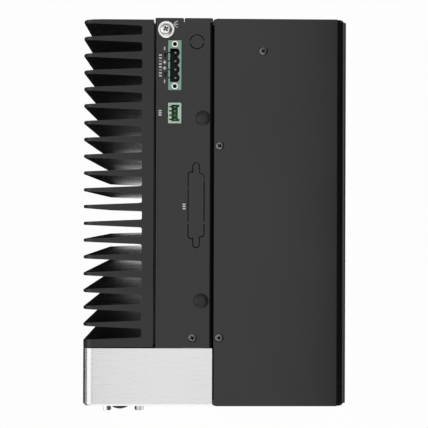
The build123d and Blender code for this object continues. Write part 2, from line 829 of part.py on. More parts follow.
with BuildPart() as memory_module:
    with Locations((x_board_face + module_rise, module_y, memory_z - module_tuck)):
        Box(module_size[0], module_length, module_size[1], align=MIN3)
    with Locations(
        *[
            (
                x_board_face + module_rise + module_size[0],
                module_y + 2.8 + chip_pitch * index,
                memory_z + 6.0,
            )
            for index in range(chip_count)
        ]
    ):
        Box(*chip_size, align=MIN3)
save(memory_module, "memory_module")

# Battery of the clock
battery_centre = (y_back - 45.0, z_bottom + 60.0)
with BuildPart() as battery_holder:
    with BuildSketch(side_plane(x_board_face)):
        with Locations(battery_centre):
            RegularPolygon(12.0, small_sides)
    extrude(amount=5.0)
    with BuildSketch(side_plane(x_board_face + 1.5)):
        with Locations(battery_centre):
            RegularPolygon(10.1, small_sides)
    extrude(amount=3.5, mode=Mode.SUBTRACT)
save(battery_holder, "battery_holder")

with BuildPart() as coin_cell:
    with BuildSketch(side_plane(x_board_face + 1.5)):
        with Locations(battery_centre):
            RegularPolygon(10.0, small_sides)
    extrude(amount=3.2)
save(coin_cell, "coin_cell")

# Solid-state drive on its bracket, which hangs on the chassis's return flanges
drive = (7.0, 69.85, 100.0)
bracket_window = (24.0, 80.0)
x_bracket = x_side - 2 * sheet
drive_y = y_front + 134.0
bracket_y = (drive_y + 12.0, drive_y + 58.0)
bracket_screws = [
    (y, z)
    for y in (bracket_y[0] + 8.0, bracket_y[1] - 8.0)
    for z in (z_bottom + return_flange - 4.0, z_top - return_flange + 4.0)
]
with BuildPart() as drive_bracket:
    with Locations((x_bracket, bracket_y[0], z_bottom + 3.0)):
        Box(sheet, bracket_y[1] - bracket_y[0], case_height - 6.0, align=MIN3)
    with BuildSketch(side_plane(x_bracket)):
        with Locations(((bracket_y[0] + bracket_y[1]) / 2, z_mid)):
            Rectangle(*bracket_window)
    extrude(amount=sheet, mode=Mode.SUBTRACT)
save(drive_bracket, "drive_bracket")

with BuildPart() as solid_state_drive:
    with Locations((x_bracket - drive[0], drive_y, z_bottom + 50.0)):
        Box(*drive, align=MIN3)
save(solid_state_drive, "solid_state_drive")

# Backplane of the expansion box, with a tongue into the base unit
with BuildPart() as backplane:
    with BuildSketch(Plane.XY.offset(z_backplane)):
        with Locations((x_box + sheet + 1.5, backplane_y[0])):
            Rectangle(
                x_tray - x_box - sheet - 4.5, backplane_y[1] - backplane_y[0], align=MIN2
            )
        with Locations((x_board_face + 2.0, tongue_y[0])):
            Rectangle(
                x_box + 4.0 - x_board_face, tongue_y[1] - tongue_y[0], align=MIN2
            )
        with Locations(*backplane_posts):
            RegularPolygon(m3_hole, hidden_sides, mode=Mode.SUBTRACT)
    extrude(amount=-board)
save(backplane, "backplane")

riser_depth = 9.0
with BuildPart() as riser_socket:
    with Locations((x_board_face, tongue_y[0] - 4.0, z_backplane - board / 2 - 4.0)):
        Box(riser_depth, tongue_y[1] - tongue_y[0] + 8.0, 8.0, align=MIN3)
    with Locations((x_board_face + 2.0, tongue_y[0] - 0.2, z_backplane - board - 0.1)):
        Box(
            riser_depth,
            tongue_y[1] - tongue_y[0] + 0.4,
            board + 0.2,
            align=MIN3,
            mode=Mode.SUBTRACT,
        )
save(riser_socket, "riser_socket")

slot_length = 89.0
slot_body = 7.6
slot_rise = 11.2
slot_groove = 1.8
slot_floor = 3.0
slot_front = y_front + 66.0
for index, x_slot in enumerate(slot_xs):
    with BuildPart() as slot_connector:
        with Locations((x_slot - slot_body / 2, slot_front, z_backplane)):
            Box(slot_body, slot_length, slot_rise, align=MIN3)
        for y_key, key_length in ((1.5, 11.5), (14.8, slot_length - 16.3)):
            with Locations(
                (x_slot - slot_groove / 2, slot_front + y_key, z_backplane + slot_floor)
            ):
                Box(slot_groove, key_length, slot_rise, align=MIN3, mode=Mode.SUBTRACT)
    save(slot_connector, f"slot_connector_{index + 1}")

# ---------------------------------------------------------------- Front panel board and sockets
io_board_x = (x_tip + 4.5, x_board_face + 5.0)
io_board_z = (audio_z - 10.0, z_top - 3.4)
with BuildPart() as io_board:
    with BuildSketch(front_plane(y_io_back)):
        with Locations((io_board_x[0], io_board_z[0])):
            Rectangle(
                io_board_x[1] - io_board_x[0], io_board_z[1] - io_board_z[0], align=MIN2
            )
    extrude(amount=board)
save(io_board, "io_board")

with BuildPart() as board_link:
    link_z = (z_mid - 10.0, z_mid + 50.0)
    with Locations((x_board - 3.2, y_io_back, link_z[0])):
        Box(board + 6.4, 11.0, link_z[1] - link_z[0], align=MIN3)
    with Locations((x_board - 0.1, y_io_back + 6.0, link_z[0])):
        Box(board + 0.2, 5.0, link_z[1] - link_z[0], align=MIN3, mode=Mode.SUBTRACT)
save(board_link, "board_link")

# D-sub sockets: a metal shell with its flange behind the panel, and a plastic body
y_flange = y_front + bezel_wall
shell_outer = d_outline(dsub_length, dsub_width, dsub_corner)
shell_mouth = (dsub_length - 2 * dsub_shell, dsub_width - 2 * dsub_shell)
shell_inner = d_outline(*shell_mouth, dsub_corner)
insert_gap = 0.05
insert_outline = d_outline(*[size - 2 * insert_gap for size in shell_mouth], dsub_corner)
port_places = [(x, z) for x in column_x for z in port_rows_z]
port_names = ("com_port_1", "com_port_2", "vga_port", "com_port_3")
pin_pitch = 2.77
pin_row = 1.42
pin_width = 0.8
com_pins = [(-pin_row, pin_pitch * (k - 2)) for k in range(5)]
com_pins += [(pin_row, pin_pitch * (k - 1.5)) for k in range(4)]
com_floor = 0.6
vga_face = 5.4
for node, (x_port, z_port) in zip(port_names, port_places):
    with BuildPart() as shell:
        with BuildSketch(front_plane(y_flange + dsub_flange_sheet)):
            with Locations((x_port, z_port)):
                Rectangle(*dsub_flange)
        extrude(amount=dsub_flange_sheet)
        with BuildSketch(front_plane(y_flange)):
            with Locations((x_port, z_port)):
                add(shell_outer)
        extrude(amount=dsub_reach)
        with BuildSketch(front_plane(y_flange + dsub_flange_sheet)):
            with Locations((x_port, z_port)):
                add(shell_inner)
            with Locations((x_port, z_port)):
                with GridLocations(0, jackscrew_spacing, 1, 2):
                    RegularPolygon(m3_clear, hidden_sides)
        extrude(amount=dsub_flange_sheet + dsub_reach, mode=Mode.SUBTRACT)
    save(shell, f"{node}_shell")

    with BuildPart() as insert:
        y_insert = y_flange + dsub_flange_sheet
        with BuildSketch(front_plane(y_io)):
            with Locations((x_port, z_port)):
                Rectangle(dsub_flange[0] - 1.0, dsub_flange[1])
        extrude(amount=y_io - y_insert)
        reach = vga_face if node == "vga_port" else com_floor
        with BuildSketch(front_plane(y_insert)):
            with Locations((x_port, z_port)):
                add(insert_outline)
        extrude(amount=dsub_flange_sheet + reach)
        with BuildSketch(front_plane(y_insert)):
            with Locations((x_port, z_port)):
                with GridLocations(0, jackscrew_spacing, 1, 2):
                    RegularPolygon(m3_hole, hidden_sides)
        extrude(amount=-4.0, mode=Mode.SUBTRACT)
    save(insert, f"{node}_body")

with BuildPart() as port_pins:
    for node, (x_port, z_port) in zip(port_names, port_places):
        if node != "vga_port":
            with BuildSketch(front_plane(y_flange - com_floor)):
                with Locations((x_port, z_port)):
                    with Locations(*com_pins):
                        Rectangle(pin_width, pin_width)
            extrude(amount=dsub_reach - com_floor - 0.7)
save(port_pins, "port_pins")

with BuildPart() as jackscrews:
    with BuildSketch(front_plane(y_front)):
        with Locations(*jack_places):
            RegularPolygon(jackscrew_flat / 2, 6, major_radius=False)
    extrude(amount=jackscrew_proud)
    with BuildSketch(front_plane(y_front)):
        with Locations(*jack_places):
            RegularPolygon(m3_radius, hidden_sides)
    extrude(amount=-(bezel_wall + dsub_flange_sheet + 3.0))
    with BuildSketch(front_plane(y_front - jackscrew_proud)):
        with Locations(*jack_places):
            Circle(jackscrew_thread)
    extrude(amount=-4.2, mode=Mode.SUBTRACT)
save(jackscrews, "jackscrews")

# USB sockets: two openings, one above the other, each with its tongue
usb_mouth = (12.5, 5.1)
usb_spacing = 7.8
for index, x_column in enumerate(column_x):
    with BuildPart() as usb_port:
        with BuildSketch(front_plane(y_io)):
            with Locations((x_column, usb_z)):
                Rectangle(*usb_size)
        extrude(amount=connector_depth + bezel_wall)
        with BuildSketch(front_plane(y_front)):
            with Locations((x_column, usb_z)):
                with GridLocations(0, usb_spacing, 1, 2):
                    Rectangle(*usb_mouth)
        extrude(amount=-9.5, mode=Mode.SUBTRACT)
    save(usb_port, f"usb_port_{index + 1}")

with BuildPart() as usb_tongues:
    for x_column in column_x:
        with BuildSketch(front_plane(y_front + 9.5)):
            with Locations((x_column, usb_z + 0.9)):
                with GridLocations(0, usb_spacing, 1, 2):
                    Rectangle(11.1, 1.9)
        extrude(amount=8.6)
save(usb_tongues, "usb_tongues")

# Network sockets, with the latch notch below the mouth
lan_mouth = (11.8, 8.2)
for index, x_column in enumerate(column_x):
    with BuildPart() as lan_port:
        with BuildSketch(front_plane(y_io)):
            with Locations((x_column, lan_z)):
                Rectangle(*lan_size)
        extrude(amount=connector_depth + bezel_wall)
        with BuildSketch(front_plane(y_front)):
            with Locations((x_column, lan_z + 0.9)):
                Rectangle(*lan_mouth)
            with Locations((x_column, lan_z - 4.0)):
                Rectangle(6.0, 2.0)
        extrude(amount=-11.0, mode=Mode.SUBTRACT)
    save(lan_port, f"lan_port_{index + 1}")

with BuildPart() as audio_jacks:
    with BuildSketch(front_plane(y_io)):
        with Locations(*[(x, audio_z) for x in column_x]):
            RegularPolygon(audio_radius, small_sides)
    extrude(amount=connector_depth + bezel_wall)
    with BuildSketch(front_plane(y_front)):
        with Locations(*[(x, audio_z) for x in column_x]):
            Circle(audio_bore)
    extrude(amount=-11.0, mode=Mode.SUBTRACT)
save(audio_jacks, "audio_jacks")

with BuildPart() as status_leds:
    with BuildSketch(front_plane(y_io)):
        with Locations(*led_places):
            RegularPolygon(led_radius, small_sides)
    extrude(amount=connector_depth + bezel_wall + 0.4)
save(status_leds, "status_leds")

# ---------------------------------------------------------------- Power button
switch_size = 6.0
switch_height = 3.5
plunger_radius = 1.75
plunger_rise = 1.6
plunger_clearance = 0.35
y_switch = y_io - switch_height
y_plunger = y_switch - plunger_rise
y_plunger_end = y_io - button_travel - stop_gap
y_collar = y_flange + stop_gap
with BuildPart() as power_button:
    # A crowned cap, its collar behind the panel and the stem that presses the switch
    with BuildSketch(front_plane(y_collar)):
        with Locations(button_centre):
            RegularPolygon(button_radius, button_sides)
    extrude(amount=y_collar - y_front + button_proud)
    crown = power_button.faces().sort_by(Axis.Y)[0].edges()
    chamfer(crown, length=button_crown_height, length2=button_radius - button_crown)
    with BuildSketch(front_plane(y_collar + collar_thickness)):
        with Locations(button_centre):
            RegularPolygon(button_collar, button_sides)
    extrude(amount=collar_thickness)
    with BuildSketch(front_plane(y_plunger)):
        with Locations(button_centre):
            RegularPolygon(plunger_radius, hidden_sides)
    extrude(amount=y_plunger - y_collar - collar_thickness)
save(power_button, "power_button")

with BuildPart() as switch_plunger:
    with BuildSketch(front_plane(y_plunger_end)):
        with Locations(button_centre):
            RegularPolygon(plunger_radius, hidden_sides)
    extrude(amount=y_plunger_end - y_plunger)
save(switch_plunger, "switch_plunger")

with BuildPart() as power_switch:
    with BuildSketch(front_plane(y_io)):
        with Locations(button_centre):
            Rectangle(switch_size, switch_size)
    extrude(amount=switch_height)
    with BuildSketch(front_plane(y_io)):
        with Locations(button_centre):
            RegularPolygon(plunger_radius + plunger_clearance, hidden_sides)
    extrude(amount=switch_height, mode=Mode.SUBTRACT)
save(power_switch, "power_switch")

# ---------------------------------------------------------------- What shows on the top plate
# Power header: a housing with a recess lobed on one side, four pins and two threaded inserts
z_header = z_top + header_proud
z_header_base = z_header - header_height
recess_length = 20.0
recess_depth = 8.5
coding_slot = 0.7
coding_depth = 3.0
insert_radius = 1.9
insert_bore = 1.25
pin_ys = [
    power_header_y + power_header_pitch * (index - (power_poles - 1) / 2)
    for index in range(power_poles)
]
insert_ys = [power_header_y + side * power_header_bolts / 2 for side in (-1, 1)]
x_header = header_x - header_width / 2
x_recess = x_header + header_wall
lobe_radius = 3.2
x_lobes = x_header + header_width - header_wall - lobe_radius
x_cusps = x_lobes + sqrt(lobe_radius**2 - (power_header_pitch / 2) ** 2)
with BuildPart() as power_header:
    with Locations((header_x, power_header_y, z_header_base)):
        Box(
            header_width,
            power_header_length,
            header_height,
            align=(Align.CENTER, Align.CENTER, Align.MIN),
        )
    with BuildSketch(Plane.XY.offset(z_header)):
        with Locations((x_recess, power_header_y)):
            Rectangle(x_cusps - x_recess, recess_length, align=(Align.MIN, Align.CENTER))
        # One lobe to each pole on the far side
        with Locations(*[(x_lobes, y) for y in pin_ys]):
            Circle(lobe_radius)
        with Locations((header_x, power_header_y)):
            Rectangle(header_width - 2 * header_wall, recess_length, mode=Mode.INTERSECT)
    extrude(amount=-recess_depth, mode=Mode.SUBTRACT)
    # Coding slots through the near wall
    with BuildSketch(Plane.XY.offset(z_header)):
        with Locations(*[(x_header, y) for y in pin_ys]):
            Rectangle(header_wall, coding_slot, align=(Align.MIN, Align.CENTER))
    extrude(amount=-coding_depth, mode=Mode.SUBTRACT)
    with BuildSketch(Plane.XY.offset(z_header)):
        with Locations(*[(header_x, y) for y in insert_ys]):
            RegularPolygon(insert_radius + 0.05, small_sides)
    extrude(amount=-7.0, mode=Mode.SUBTRACT)
save(power_header, "power_header")

with BuildPart() as power_header_inserts:
    with BuildSketch(Plane.XY.offset(z_header + 0.1)):
        with Locations(*[(header_x, y) for y in insert_ys]):
            RegularPolygon(insert_radius, small_sides)
            Circle(insert_bore, mode=Mode.SUBTRACT)
    extrude(amount=-7.1)
save(power_header_inserts, "power_header_inserts")

# Remote-switch header: a smaller housing with four pins and coding notches
remote_pin_ys = [remote_header_y + remote_pitch * (k - 1.5) for k in range(4)]
remote_wall = 1.2
remote_thick_wall = 2.1
remote_depth = 6.5
remote_end_slot = 1.4
remote_end_y = (remote_header_length - remote_end_slot) / 2 - remote_wall
with BuildPart() as remote_header:
    with Locations((header_x, remote_header_y, z_header_base)):
        Box(
            header_width,
            remote_header_length,
            header_height,
            align=(Align.CENTER, Align.CENTER, Align.MIN),
        )
    with BuildSketch(Plane.XY.offset(z_header)):
        with Locations((header_x, remote_header_y)):
            Rectangle(header_width - 2 * remote_thick_wall, remote_header_length - 2 * remote_wall)
        # Wider at both ends, and notched beside each pin
        with Locations(
            *[
                (x_header + header_width - remote_wall, remote_header_y + side * remote_end_y)
                for side in (-1, 1)
            ]
        ):
            Rectangle(
                2 * remote_thick_wall, remote_end_slot, align=(Align.MAX, Align.CENTER)
            )
        with Locations(*[(x_header + remote_thick_wall, y) for y in remote_pin_ys]):
            Rectangle(1.4, 0.9, align=(Align.MAX, Align.CENTER))
    extrude(amount=-remote_depth, mode=Mode.SUBTRACT)
save(remote_header, "remote_header")

with BuildPart() as header_pins:
    with BuildSketch(Plane.XY.offset(z_header - recess_depth)):
        with Locations(*[(header_x + 0.3, y) for y in pin_ys]):
            Rectangle(1.0, 1.0)
    extrude(amount=recess_depth - 1.2)
    with BuildSketch(Plane.XY.offset(z_header - remote_depth)):
        with Locations(*[(header_x, y) for y in remote_pin_ys]):
            Rectangle(0.7, 0.7)
    extrude(amount=remote_depth - 1.5)
save(header_pins, "header_pins")

# Earth screw on its washer
washer_radius = 4.9
washer_thickness = 0.9
ground_head = 3.7
ground_head_height = 2.4
ground_head_edge = 1.0
ground_shank = 5.5
with BuildPart() as ground_washer:
    with BuildSketch(Plane.XY.offset(z_top)):
        with Locations(ground_centre):
            RegularPolygon(washer_radius, small_sides)
            RegularPolygon(m4_hole, hidden_sides, mode=Mode.SUBTRACT)
    extrude(amount=washer_thickness)
save(ground_washer, "ground_washer")

with BuildPart() as ground_screw:
    z_seat = z_top + washer_thickness
    with BuildSketch(Plane.XY.offset(z_seat)):
        with Locations(ground_centre):
            RegularPolygon(ground_head, small_sides)
    extrude(amount=ground_head_height)
    chamfer(ground_screw.faces().sort_by(Axis.Z)[-1].edges(), ground_head_edge)
    with BuildSketch(Plane.XY.offset(z_seat)):
        with Locations(ground_centre):
            RegularPolygon(m4_radius, hidden_sides)
    extrude(amount=-ground_shank)
save(ground_screw, "ground_screw")

# Snap-in plugs in the aerial holes: a crowned head, a neck through the plate and a barb below it
with BuildPart() as hole_plugs:
    with BuildSketch(Plane.XY.offset(z_top)):
        with Locations(*plug_places):
            RegularPolygon(plug_head, small_sides)
    extrude(amount=plug_height)
    chamfer(hole_plugs.faces().group_by(Axis.Z)[-1].edges(), plug_height - 0.2)
    with BuildSketch(Plane.XY.offset(z_top)):
        with Locations(*plug_places):
            RegularPolygon(plug_hole - 0.2, hidden_sides)
    extrude(amount=-sheet)
    with BuildSketch(Plane.XY.offset(z_top - sheet)):
        with Locations(*plug_places):
            RegularPolygon(plug_hole + 0.2, hidden_sides)
    extrude(amount=-plug_barb)
    chamfer(hole_plugs.faces().group_by(Axis.Z)[0].edges(), 1.0)
save(hole_plugs, "hole_plugs")

# ---------------------------------------------------------------- Screws and feet
flat_cone = flat_head - m3_through
with BuildPart() as flat_screw:
    with BuildSketch(Plane.XY):
        RegularPolygon(flat_head, flat_sides)
    extrude(amount=-flat_cone, taper=45)
    with BuildSketch(Plane.XY.offset(-flat_cone)):
        RegularPolygon(m3_radius, hidden_sides)
    extrude(amount=flat_cone - short_screw)

z_head = z_top - flat_recess
flat_seats = [facing((x, y, z_head), (0, 0, 1)) for x, y in (top_screw, *box_screws)]
flat_seats += [facing((*top_screw, z_bottom + flat_recess), (0, 0, -1))]
flat_seats += [facing((x, y_back - flat_recess, z), (0, 1, 0)) for x, z in rear_screws]
with BuildPart() as flat_screws:
    with Locations(*flat_seats):
        add(flat_screw.part)
save(flat_screws, "flat_screws")


def pan_screw(length):
    """Pan-head screw on the origin: its head is above, its shank below."""
    with BuildPart() as screw:
        with BuildSketch(Plane.XY):
            RegularPolygon(m3_head, hidden_sides)
        extrude(amount=m3_head_height)
        with BuildSketch(Plane.XY):
            RegularPolygon(m3_radius, hidden_sides)
        extrude(amount=-length)
    return screw.part


sink_seats = [facing((x_wall + sheet, y, z), (1, 0, 0)) for y, z in land_places]
sink_seats += [
    facing(
        (
            x_spreader,
            processor_centre[0] + side_y * spreader_screw,
            processor_centre[1] + side_z * spreader_screw,
        ),
        (1, 0, 0),
    )
    for side_y in (-1, 1)
    for side_z in (-1, 1)
]
long_pan = pan_screw(long_screw)
with BuildPart() as sink_screws:
    with Locations(*sink_seats):
        add(long_pan)
save(sink_screws, "sink_screws")

board_seats = [facing((x_board_face, y, z), (1, 0, 0)) for y, z in standoff_places]
board_seats += [facing((x, y, z_backplane), (0, 0, 1)) for x, y in backplane_posts]
board_seats += [facing((x_side + sheet, y, z), (1, 0, 0)) for y, z in join_places]
board_seats += [facing((x, y, z_shelf + slot_cover_sheet), (0, 0, 1)) for x, y in slot_screws]
short_pan = pan_screw(short_screw)
with BuildPart() as pan_screws:
    with Locations(*board_seats):
        add(short_pan)
save(pan_screws, "pan_screws")

feet_places = [
    (x, y)
    for x in (x_wall + 9.2, x_right - 15.0)
    for y in (y_front + 50.0, y_box_back - 15.2)
]
with BuildPart() as rubber_feet:
    with BuildSketch(Plane.XY.offset(z_bottom)):
        with Locations(*feet_places):
            RegularPolygon(foot_radius, small_sides)
    extrude(amount=-foot_height)
    chamfer(rubber_feet.faces().group_by(Axis.Z)[0].edges(), foot_edge)
save(rubber_feet, "rubber_feet")
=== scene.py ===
from math import atan, cos, pi, radians, sin, sqrt, tan

import bmesh
import bpy
from mathutils import Euler, Matrix, Vector


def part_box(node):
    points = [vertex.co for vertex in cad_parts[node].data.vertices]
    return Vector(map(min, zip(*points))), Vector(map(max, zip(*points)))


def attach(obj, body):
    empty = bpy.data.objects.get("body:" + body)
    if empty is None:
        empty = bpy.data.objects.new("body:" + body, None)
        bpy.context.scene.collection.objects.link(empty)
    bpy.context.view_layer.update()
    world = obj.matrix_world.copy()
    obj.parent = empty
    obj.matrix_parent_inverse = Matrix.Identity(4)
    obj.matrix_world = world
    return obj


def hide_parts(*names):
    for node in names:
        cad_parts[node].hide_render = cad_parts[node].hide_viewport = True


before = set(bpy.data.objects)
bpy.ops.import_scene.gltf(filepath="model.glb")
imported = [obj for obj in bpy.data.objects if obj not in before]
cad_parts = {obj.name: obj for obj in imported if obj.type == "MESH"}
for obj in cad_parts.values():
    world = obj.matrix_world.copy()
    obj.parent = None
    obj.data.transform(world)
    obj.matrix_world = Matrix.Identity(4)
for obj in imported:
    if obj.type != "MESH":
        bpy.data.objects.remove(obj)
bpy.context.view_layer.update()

# Fanless industrial computer with its expansion box, dressed over the CAD frame.
# Shapes are worked out in millimetres in the CAD frame and scaled to metres when a piece is made.
# X runs from the fin tips to the expansion box, Y from the front panel to the rear, Z is up.

MM = 0.001


def corners(node):
    """Lowest and highest corner of a CAD node, in millimetres."""
    low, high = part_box(node)
    return low / MM, high / MM


# ---------------------------------------------------------------- Places, read from the CAD nodes
sink_low, sink_high = corners("heat_sink")
main_low, main_high = corners("main_chassis")
cover_low, cover_high = corners("expansion_cover")
left_pan_low, left_pan_high = corners("rear_cover_left")
right_pan_low, right_pan_high = corners("rear_cover_right")
header_low, header_high = corners("power_header")
remote_low, remote_high = corners("remote_header")

z_bottom = main_low.z
z_top = main_high.z
y_front = cover_low.y
y_back = right_pan_high.y
x_tip = sink_low.x
x_wall = main_low.x
x_side = main_high.x
x_box = cover_low.x
sheet = 1.2

power_centre = (header_low + header_high) / 2
remote_centre = (remote_low + remote_high) / 2


# ---------------------------------------------------------------- Materials
class Finish:
    """A node-based material, put together from grain, colour and bump in object space."""

    def __init__(self, name, metallic=0.0, ior_level=0.5, coat=0.0):
        self.material = bpy.data.materials.new(name)
        self.material.use_nodes = True
        self.tree = self.material.node_tree
        self.shader = self.tree.nodes["Principled BSDF"]
        self.shader.inputs["Metallic"].default_value = metallic
        self.shader.inputs["Specular IOR Level"].default_value = ior_level
        self.shader.inputs["Coat Weight"].default_value = coat
        self.shader.inputs["Coat Roughness"].default_value = 0.1
        self.place = self.node("TexCoord").outputs["Object"]

    def node(self, kind, **settings):
        """A shader node of a kind, with its settings."""
        made = self.tree.nodes.new("ShaderNode" + kind)
        for key, value in settings.items():
            setattr(made, key, value)
        return made

    def join(self, output, target):
        """Link an output to an input."""
        self.tree.links.new(output, target)

    def noise(self, size, stretch=(1, 1, 1), detail=3.0):
        """Noise with grains of about this many millimetres, longer along a stretched axis."""
        mapping = self.node("Mapping")
        mapping.inputs["Scale"].default_value = [1 / (size * MM * s) for s in stretch]
        self.join(self.place, mapping.inputs["Vector"])
        noise = self.node("TexNoise")
        noise.inputs["Scale"].default_value = 1.0
        noise.inputs["Detail"].default_value = detail
        self.join(mapping.outputs["Vector"], noise.inputs["Vector"])
        return noise.outputs["Fac"]

    def spread(self, value, low, high, start=0.3, end=0.7):
        """The value between start and end, spread from low to high."""
        remap = self.node("MapRange")
        remap.inputs["From Min"].default_value = start
        remap.inputs["From Max"].default_value = end
        remap.inputs["To Min"].default_value = low
        remap.inputs["To Max"].default_value = high
        self.join(value, remap.inputs["Value"])
        return remap.outputs["Result"]

    def blend(self, factor, first, second):
        """A colour between two, which may be colours or outputs."""
        mix = self.node("Mix", data_type="RGBA")
        self.join(factor, mix.inputs["Factor"])
        for socket, colour in ((mix.inputs[6], first), (mix.inputs[7], second)):
            if isinstance(colour, tuple):
                socket.default_value = (*colour, 1.0)
            else:
                self.join(colour, socket)
        return mix.outputs[2]

    def sums(self, first, second, operation="ADD"):
        """Sum, or another operation, of two values."""
        math = self.node("Math", operation=operation)
        for socket, value in zip(math.inputs, (first, second)):
            if isinstance(value, (int, float)):
                socket.default_value = value
            else:
                self.join(value, socket)
        return math.outputs[0]

    def edge(self, radius):
        """1 along an edge of about this radius in millimetres, 0 on the faces between."""
        rounded = self.node("Bevel", samples=4)
        rounded.inputs["Radius"].default_value = radius * MM
        geometry = self.node("NewGeometry")
        dot = self.node("VectorMath", operation="DOT_PRODUCT")
        self.join(rounded.outputs["Normal"], dot.inputs[0])
        self.join(geometry.outputs["Normal"], dot.inputs[1])
        return self.spread(dot.outputs["Value"], 1.0, 0.0, start=0.75, end=0.99)

    def colour(self, value):
        self.join(value, self.shader.inputs["Base Color"])

    def roughness(self, value):
        self.join(value, self.shader.inputs["Roughness"])

    def bump(self, height, depth):
        """Relief of this many millimetres from a height between 0 and 1."""
        bump = self.node("Bump")
        bump.inputs["Strength"].default_value = 1.0
        bump.inputs["Distance"].default_value = depth * MM
        self.join(height, bump.inputs["Height"])
        self.join(bump.outputs["Normal"], self.shader.inputs["Normal"])


def srgb(*levels):
    """Linear colour from levels of 0 to 255 as they are seen on a screen."""
    seen = [level / 255 for level in levels]
    return tuple(s / 12.92 if s <= 0.04045 else ((s + 0.055) / 1.055) ** 2.4 for s in seen)


def coated(name, dark, light, wear_and_highlight, grain, rough, relief):
    """Painted or anodised metal: fine grain, a slow change of tone and lighter edges, partly wear
    and partly painted highlight.
    """
    finish = Finish(name)
    fine = finish.noise(grain)
    slow = finish.noise(45.0, detail=1.0)
    tone = finish.sums(finish.sums(fine, 0.4, "MULTIPLY"), finish.sums(slow, 0.6, "MULTIPLY"))
    body = finish.blend(finish.spread(tone, 0.0, 1.0), dark, light)
    patchy = finish.spread(finish.noise(2.5), 0.15, 0.7)
    # Lighter edges: partly wear, partly a painted highlight where the edges catch light
    worn_and_highlighted = finish.sums(finish.edge(0.35), patchy, "MULTIPLY")
    finish.colour(finish.blend(worn_and_highlighted, body, wear_and_highlight))
    finish.roughness(finish.spread(slow, *rough))
    finish.bump(fine, relief)
    return finish.material


def bare_metal(name, dark, light, grain, stretch, rough, relief):
    """Metal without paint: grain drawn out along the way it was worked."""
    finish = Finish(name, metallic=1.0)
    lines = finish.noise(grain, stretch, detail=4.0)
    slow = finish.noise(30.0, detail=1.0)
    finish.colour(finish.blend(finish.spread(slow, 0.0, 1.0), dark, light))
    finish.roughness(finish.spread(lines, *rough))
    finish.bump(lines, relief)
    return finish.material


def moulded(name, dark, light, rough=(0.35, 0.5), grain=0.25, relief=0.008, ior_level=0.4):
    """Moulded plastic or rubber with a fine spark-eroded texture."""
    finish = Finish(name, ior_level=ior_level)
    fine = finish.noise(grain)
    slow = finish.noise(8.0, detail=1.0)
    finish.colour(finish.blend(finish.spread(slow, 0.0, 1.0), dark, light))
    finish.roughness(finish.spread(fine, *rough))
    finish.bump(fine, relief)
    return finish.material


def brushed_silver():
    """Silver anodised bezel, brushed along X, or along Y where a face looks sideways."""
    finish = Finish("brushed_silver", metallic=1.0)
    across = finish.noise(0.3, (60.0, 1.0, 1.0), detail=5.0)
    sideways = finish.noise(0.3, (1.0, 60.0, 1.0), detail=5.0)
    geometry = finish.node("NewGeometry")
    parts = finish.node("SeparateXYZ")
    finish.join(geometry.outputs["True Normal"], parts.inputs["Vector"])
    turned = finish.spread(finish.sums(parts.outputs["X"], 0.0, "ABSOLUTE"), 0.0, 1.0, 0.6, 0.8)
    lines = finish.sums(
        finish.sums(across, finish.sums(1.0, turned, "SUBTRACT"), "MULTIPLY"),
        finish.sums(sideways, turned, "MULTIPLY"),
    )
    slow = finish.noise(60.0, (3.0, 1.0, 1.0), detail=1.0)
    tone = finish.sums(finish.sums(lines, 0.7, "MULTIPLY"), finish.sums(slow, 0.3, "MULTIPLY"))
    finish.colour(
        finish.blend(finish.spread(tone, 0.0, 1.0), srgb(215, 215, 216), srgb(226, 226, 226))
    )
    finish.roughness(finish.spread(lines, 0.2, 0.3))
    finish.bump(lines, 0.0015)
    return finish.material


def circuit_board():
    """Green solder mask with faint copper traces below it."""
    finish = Finish("circuit_board", coat=0.3)
    traces = finish.node("TexBrick", offset=0.35)
    traces.inputs["Scale"].default_value = 260.0
    traces.inputs["Mortar Size"].default_value = 0.08
    finish.join(finish.place, traces.inputs["Vector"])
    slow = finish.noise(12.0)
    mask = finish.blend(finish.spread(slow, 0.0, 1.0), srgb(12, 60, 38), srgb(18, 78, 48))
    finish.colour(finish.blend(traces.outputs["Fac"], mask, srgb(36, 104, 66)))
    finish.roughness(finish.spread(slow, 0.3, 0.45))
    finish.bump(traces.outputs["Fac"], 0.03)
    return finish.material


def tinted_lens(name, colour):
    """Tinted lens of an unlit indicator lamp."""
    finish = Finish(name, ior_level=0.6, coat=0.4)
    slow = finish.noise(1.2)
    finish.colour(finish.blend(slow, colour, tuple(0.6 * c for c in colour)))
    finish.roughness(finish.spread(slow, 0.12, 0.22))
    return finish.material


def green_with_painted_shade(name, rim, painted_shade, z_rim, fade):
    """Terminal plastic with painted shade: it darkens below its rim over a depth in millimetres.
    """
    finish = Finish(name, ior_level=0.35)
    parts = finish.node("SeparateXYZ")
    finish.join(finish.place, parts.inputs["Vector"])
    # Painted shade: darker towards the bottom of the recesses, where shade falls
    depth = finish.spread(parts.outputs["Z"], 1.0, 0.0, (z_rim - fade) * MM, (z_rim - 0.3) * MM)
    slow = finish.noise(1.5)
    body = finish.blend(finish.spread(slow, 0.0, 1.0), rim, tuple(0.85 * c for c in rim))
    finish.colour(finish.blend(depth, body, painted_shade))
    finish.roughness(finish.spread(slow, 0.4, 0.55))
    finish.bump(finish.noise(0.2), 0.008)
    return finish.material
